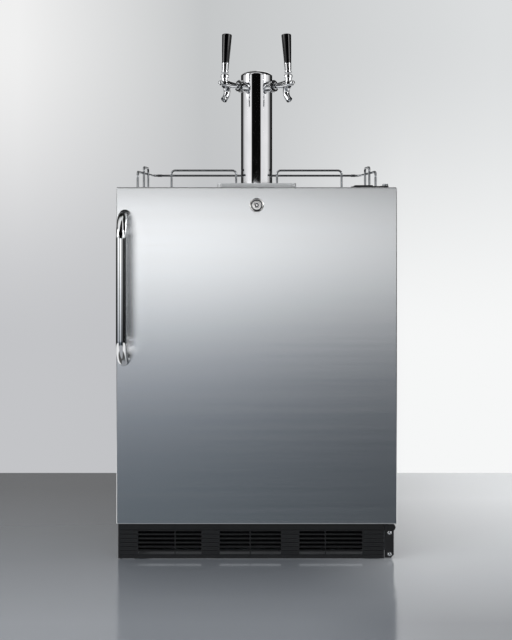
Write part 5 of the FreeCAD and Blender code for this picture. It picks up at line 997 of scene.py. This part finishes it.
def hang_wall():
    """Backdrop paper with painted light at its upper left and lower right, glowing with it for the
    camera, that only its front shows.
    """
    wide, y, high = 7, 0.39, 4
    corners = ((-wide, y, 0), (wide, y, 0), (wide, y, high), (-wide, y, high))
    tree, part = stage_sheet("studio_wall", corners, "backdrop_paper")
    # The backdrop's painted light and shade: a low and a top row of tones across its width, blended
    # upwards.
    low = (0.1, "#c3c4c7"), (0.45, "#bfc0c3"), (0.78, "#f6f7f7")
    top = (0.05, "#f0f0f0"), (0.4, "#c5c7c8"), (0.95, "#dcdedf")
    tint = two_way_tint(tree, part, ("X", -0.75, 0.75), ("Z", 0.34, 1.25), low, top)
    # For the camera the paper glows with its painted light and shade instead of being lit.
    seen = add(tree, "ShaderNodeLightPath").outputs["Is Camera Ray"]
    glow = add(tree, "ShaderNodeEmission", {"Color": tint}).outputs[0]
    paper = add(tree, "ShaderNodeBsdfDiffuse", {"Color": tint}).outputs[0]
    front = add(tree, "ShaderNodeMixShader", {0: seen, 1: paper, 2: glow}).outputs[0]
    behind = add(tree, "ShaderNodeNewGeometry").outputs["Backfacing"]
    clear = add(tree, "ShaderNodeBsdfTransparent").outputs[0]
    whole = add(tree, "ShaderNodeMixShader", {0: behind, 1: front, 2: clear})
    add(tree, "ShaderNodeOutputMaterial", {"Surface": whole.outputs[0]})


def set_surround(scene):
    """Plain pale light, with soft boxes and dark cards that only gloss shows."""
    world = bpy.data.worlds.new("Studio surround")
    scene.world = world
    world.use_nodes = True
    tree = world.node_tree
    tree.nodes.clear()
    way = add(tree, "ShaderNodeTexCoord").outputs["Generated"]
    part = add(tree, "ShaderNodeSeparateXYZ", {0: way}).outputs
    rays = add(tree, "ShaderNodeLightPath").outputs
    light = (0.66, 0.67, 0.69, 1)
    for kind, shown in (("Glossy", gloss_light(tree, part)), ("Camera", linear("#dfe1e2"))):
        inputs = {0: rays[f"Is {kind} Ray"], 6: light, 7: shown}
        light = add(tree, "ShaderNodeMix", inputs, data_type="RGBA").outputs[2]
    back = add(tree, "ShaderNodeBackground", {"Color": light})
    add(tree, "ShaderNodeOutputWorld", {"Surface": back.outputs[0]})


def gloss_light(tree, part):
    """What polished metal shows: cards and soft boxes laid over each other by name."""
    ahead = add(tree, "ShaderNodeMath", {0: part["Y"], 1: -1.0}, operation="MULTIPLY")
    turn = {0: part["X"], 1: ahead.outputs[0]}
    turn = add(tree, "ShaderNodeMath", turn, operation="ARCTAN2").outputs[0]
    shown = {}
    spans = [(name, turn, -pi, pi, stops) for name, stops in RINGS.items()]
    spans += [(name, part["Z"], low, high, stops) for name, (low, high, *stops) in LEVELS.items()]
    for name, source, low, high, stops in spans:
        if name in RINGS:
            stops = [(0.5 + degrees / 360, shade) for degrees, shade in stops]
        span = {"Value": source, "From Min": low, "From Max": high}
        span = add(tree, "ShaderNodeMapRange", span).outputs[0]
        shown[name] = add(tree, "ShaderNodeValToRGB", {"Fac": span}, stops).outputs[0]
    for name, how, *given in LAYERS:
        share, under, over = (shown.get(item, item) for item in given)
        inputs = {0: share, 6: under, 7: over}
        mix = add(tree, "ShaderNodeMix", inputs, data_type="RGBA", blend_type=how)
        shown[name] = mix.outputs[2]
    return shown["around"]


def hang_lamps():
    """Three soft boxes that light the piece without showing in its gloss."""
    target = Vector((0, 0, 0.6))
    for name, spot, wide, power in (
        ("Overhead box", (-0.4, -0.6, 2.9), 1.8, 26.0),
        ("Left box", (-2.4, -1.6, 1.7), 1.6, 24.0),
        ("Right box", (2.6, -1.0, 1.5), 1.6, 12.0),
    ):
        lamp = bpy.data.lights.new(name, "AREA")
        lamp.size = wide
        lamp.energy = power
        made = placed(name, lamp)
        made.location = spot
        made.rotation_euler = (target - Vector(spot)).to_track_quat("-Z", "Y").to_euler()
        made.visible_glossy = False


def set_camera(scene):
    """Level, and about two metres ahead of the door."""
    eye = bpy.data.cameras.new("Camera")
    eye.lens = 52.65
    eye.sensor_width = 36.0
    eye.shift_y = -0.1828
    made = scene.camera = placed("Camera", eye)
    made.location = (-0.0015, -2.2665, 0.766)
    made.rotation_euler = (radians(90), 0, 0)


class DISPENSER_OT_stage(bpy.types.Operator):
    """Sets the floor, the surround, the lamps and the camera"""

    bl_idname = "dispenser.stage"
    bl_label = "Studio"

    def execute(self, context):
        lay_floor()
        hang_wall()
        set_surround(context.scene)
        hang_lamps()
        set_camera(context.scene)
        context.scene.view_settings.view_transform = "Standard"
        return {"FINISHED"}


OPERATORS = (
    DISPENSER_OT_stage, DISPENSER_OT_finishes, DISPENSER_OT_column, DISPENSER_OT_faucets,
    DISPENSER_OT_door, DISPENSER_OT_handle, DISPENSER_OT_rails, DISPENSER_OT_tray,
    DISPENSER_OT_seal, DISPENSER_OT_grille, DISPENSER_OT_hinges,
)


class DISPENSER_PT_panel(bpy.types.Panel):
    """Lists the dispenser's steps in the sidebar"""

    bl_idname = "DISPENSER_PT_panel"
    bl_label = "Beer dispenser"
    bl_space_type = "VIEW_3D"
    bl_region_type = "UI"
    bl_category = "Dispenser"

    def draw(self, context):
        for step in OPERATORS:
            self.layout.operator(step.bl_idname)
        for group in (context.scene.dispenser_sizes, context.scene.dispenser_colours):
            for key in group.__annotations__:
                self.layout.prop(group, key)


CLASSES = (DispenserSizes, DispenserColours, *OPERATORS, DISPENSER_PT_panel)


def register():
    for made in CLASSES:
        bpy.utils.register_class(made)
    bpy.types.Scene.dispenser_sizes = PointerProperty(type=DispenserSizes)
    bpy.types.Scene.dispenser_colours = PointerProperty(type=DispenserColours)


def unregister():
    del bpy.types.Scene.dispenser_colours
    del bpy.types.Scene.dispenser_sizes
    for made in reversed(CLASSES):
        bpy.utils.unregister_class(made)


def main():
    register()
    for step in OPERATORS:
        getattr(bpy.ops.dispenser, step.bl_idname.split(".")[1])()


if __name__ == "__main__":
    main()
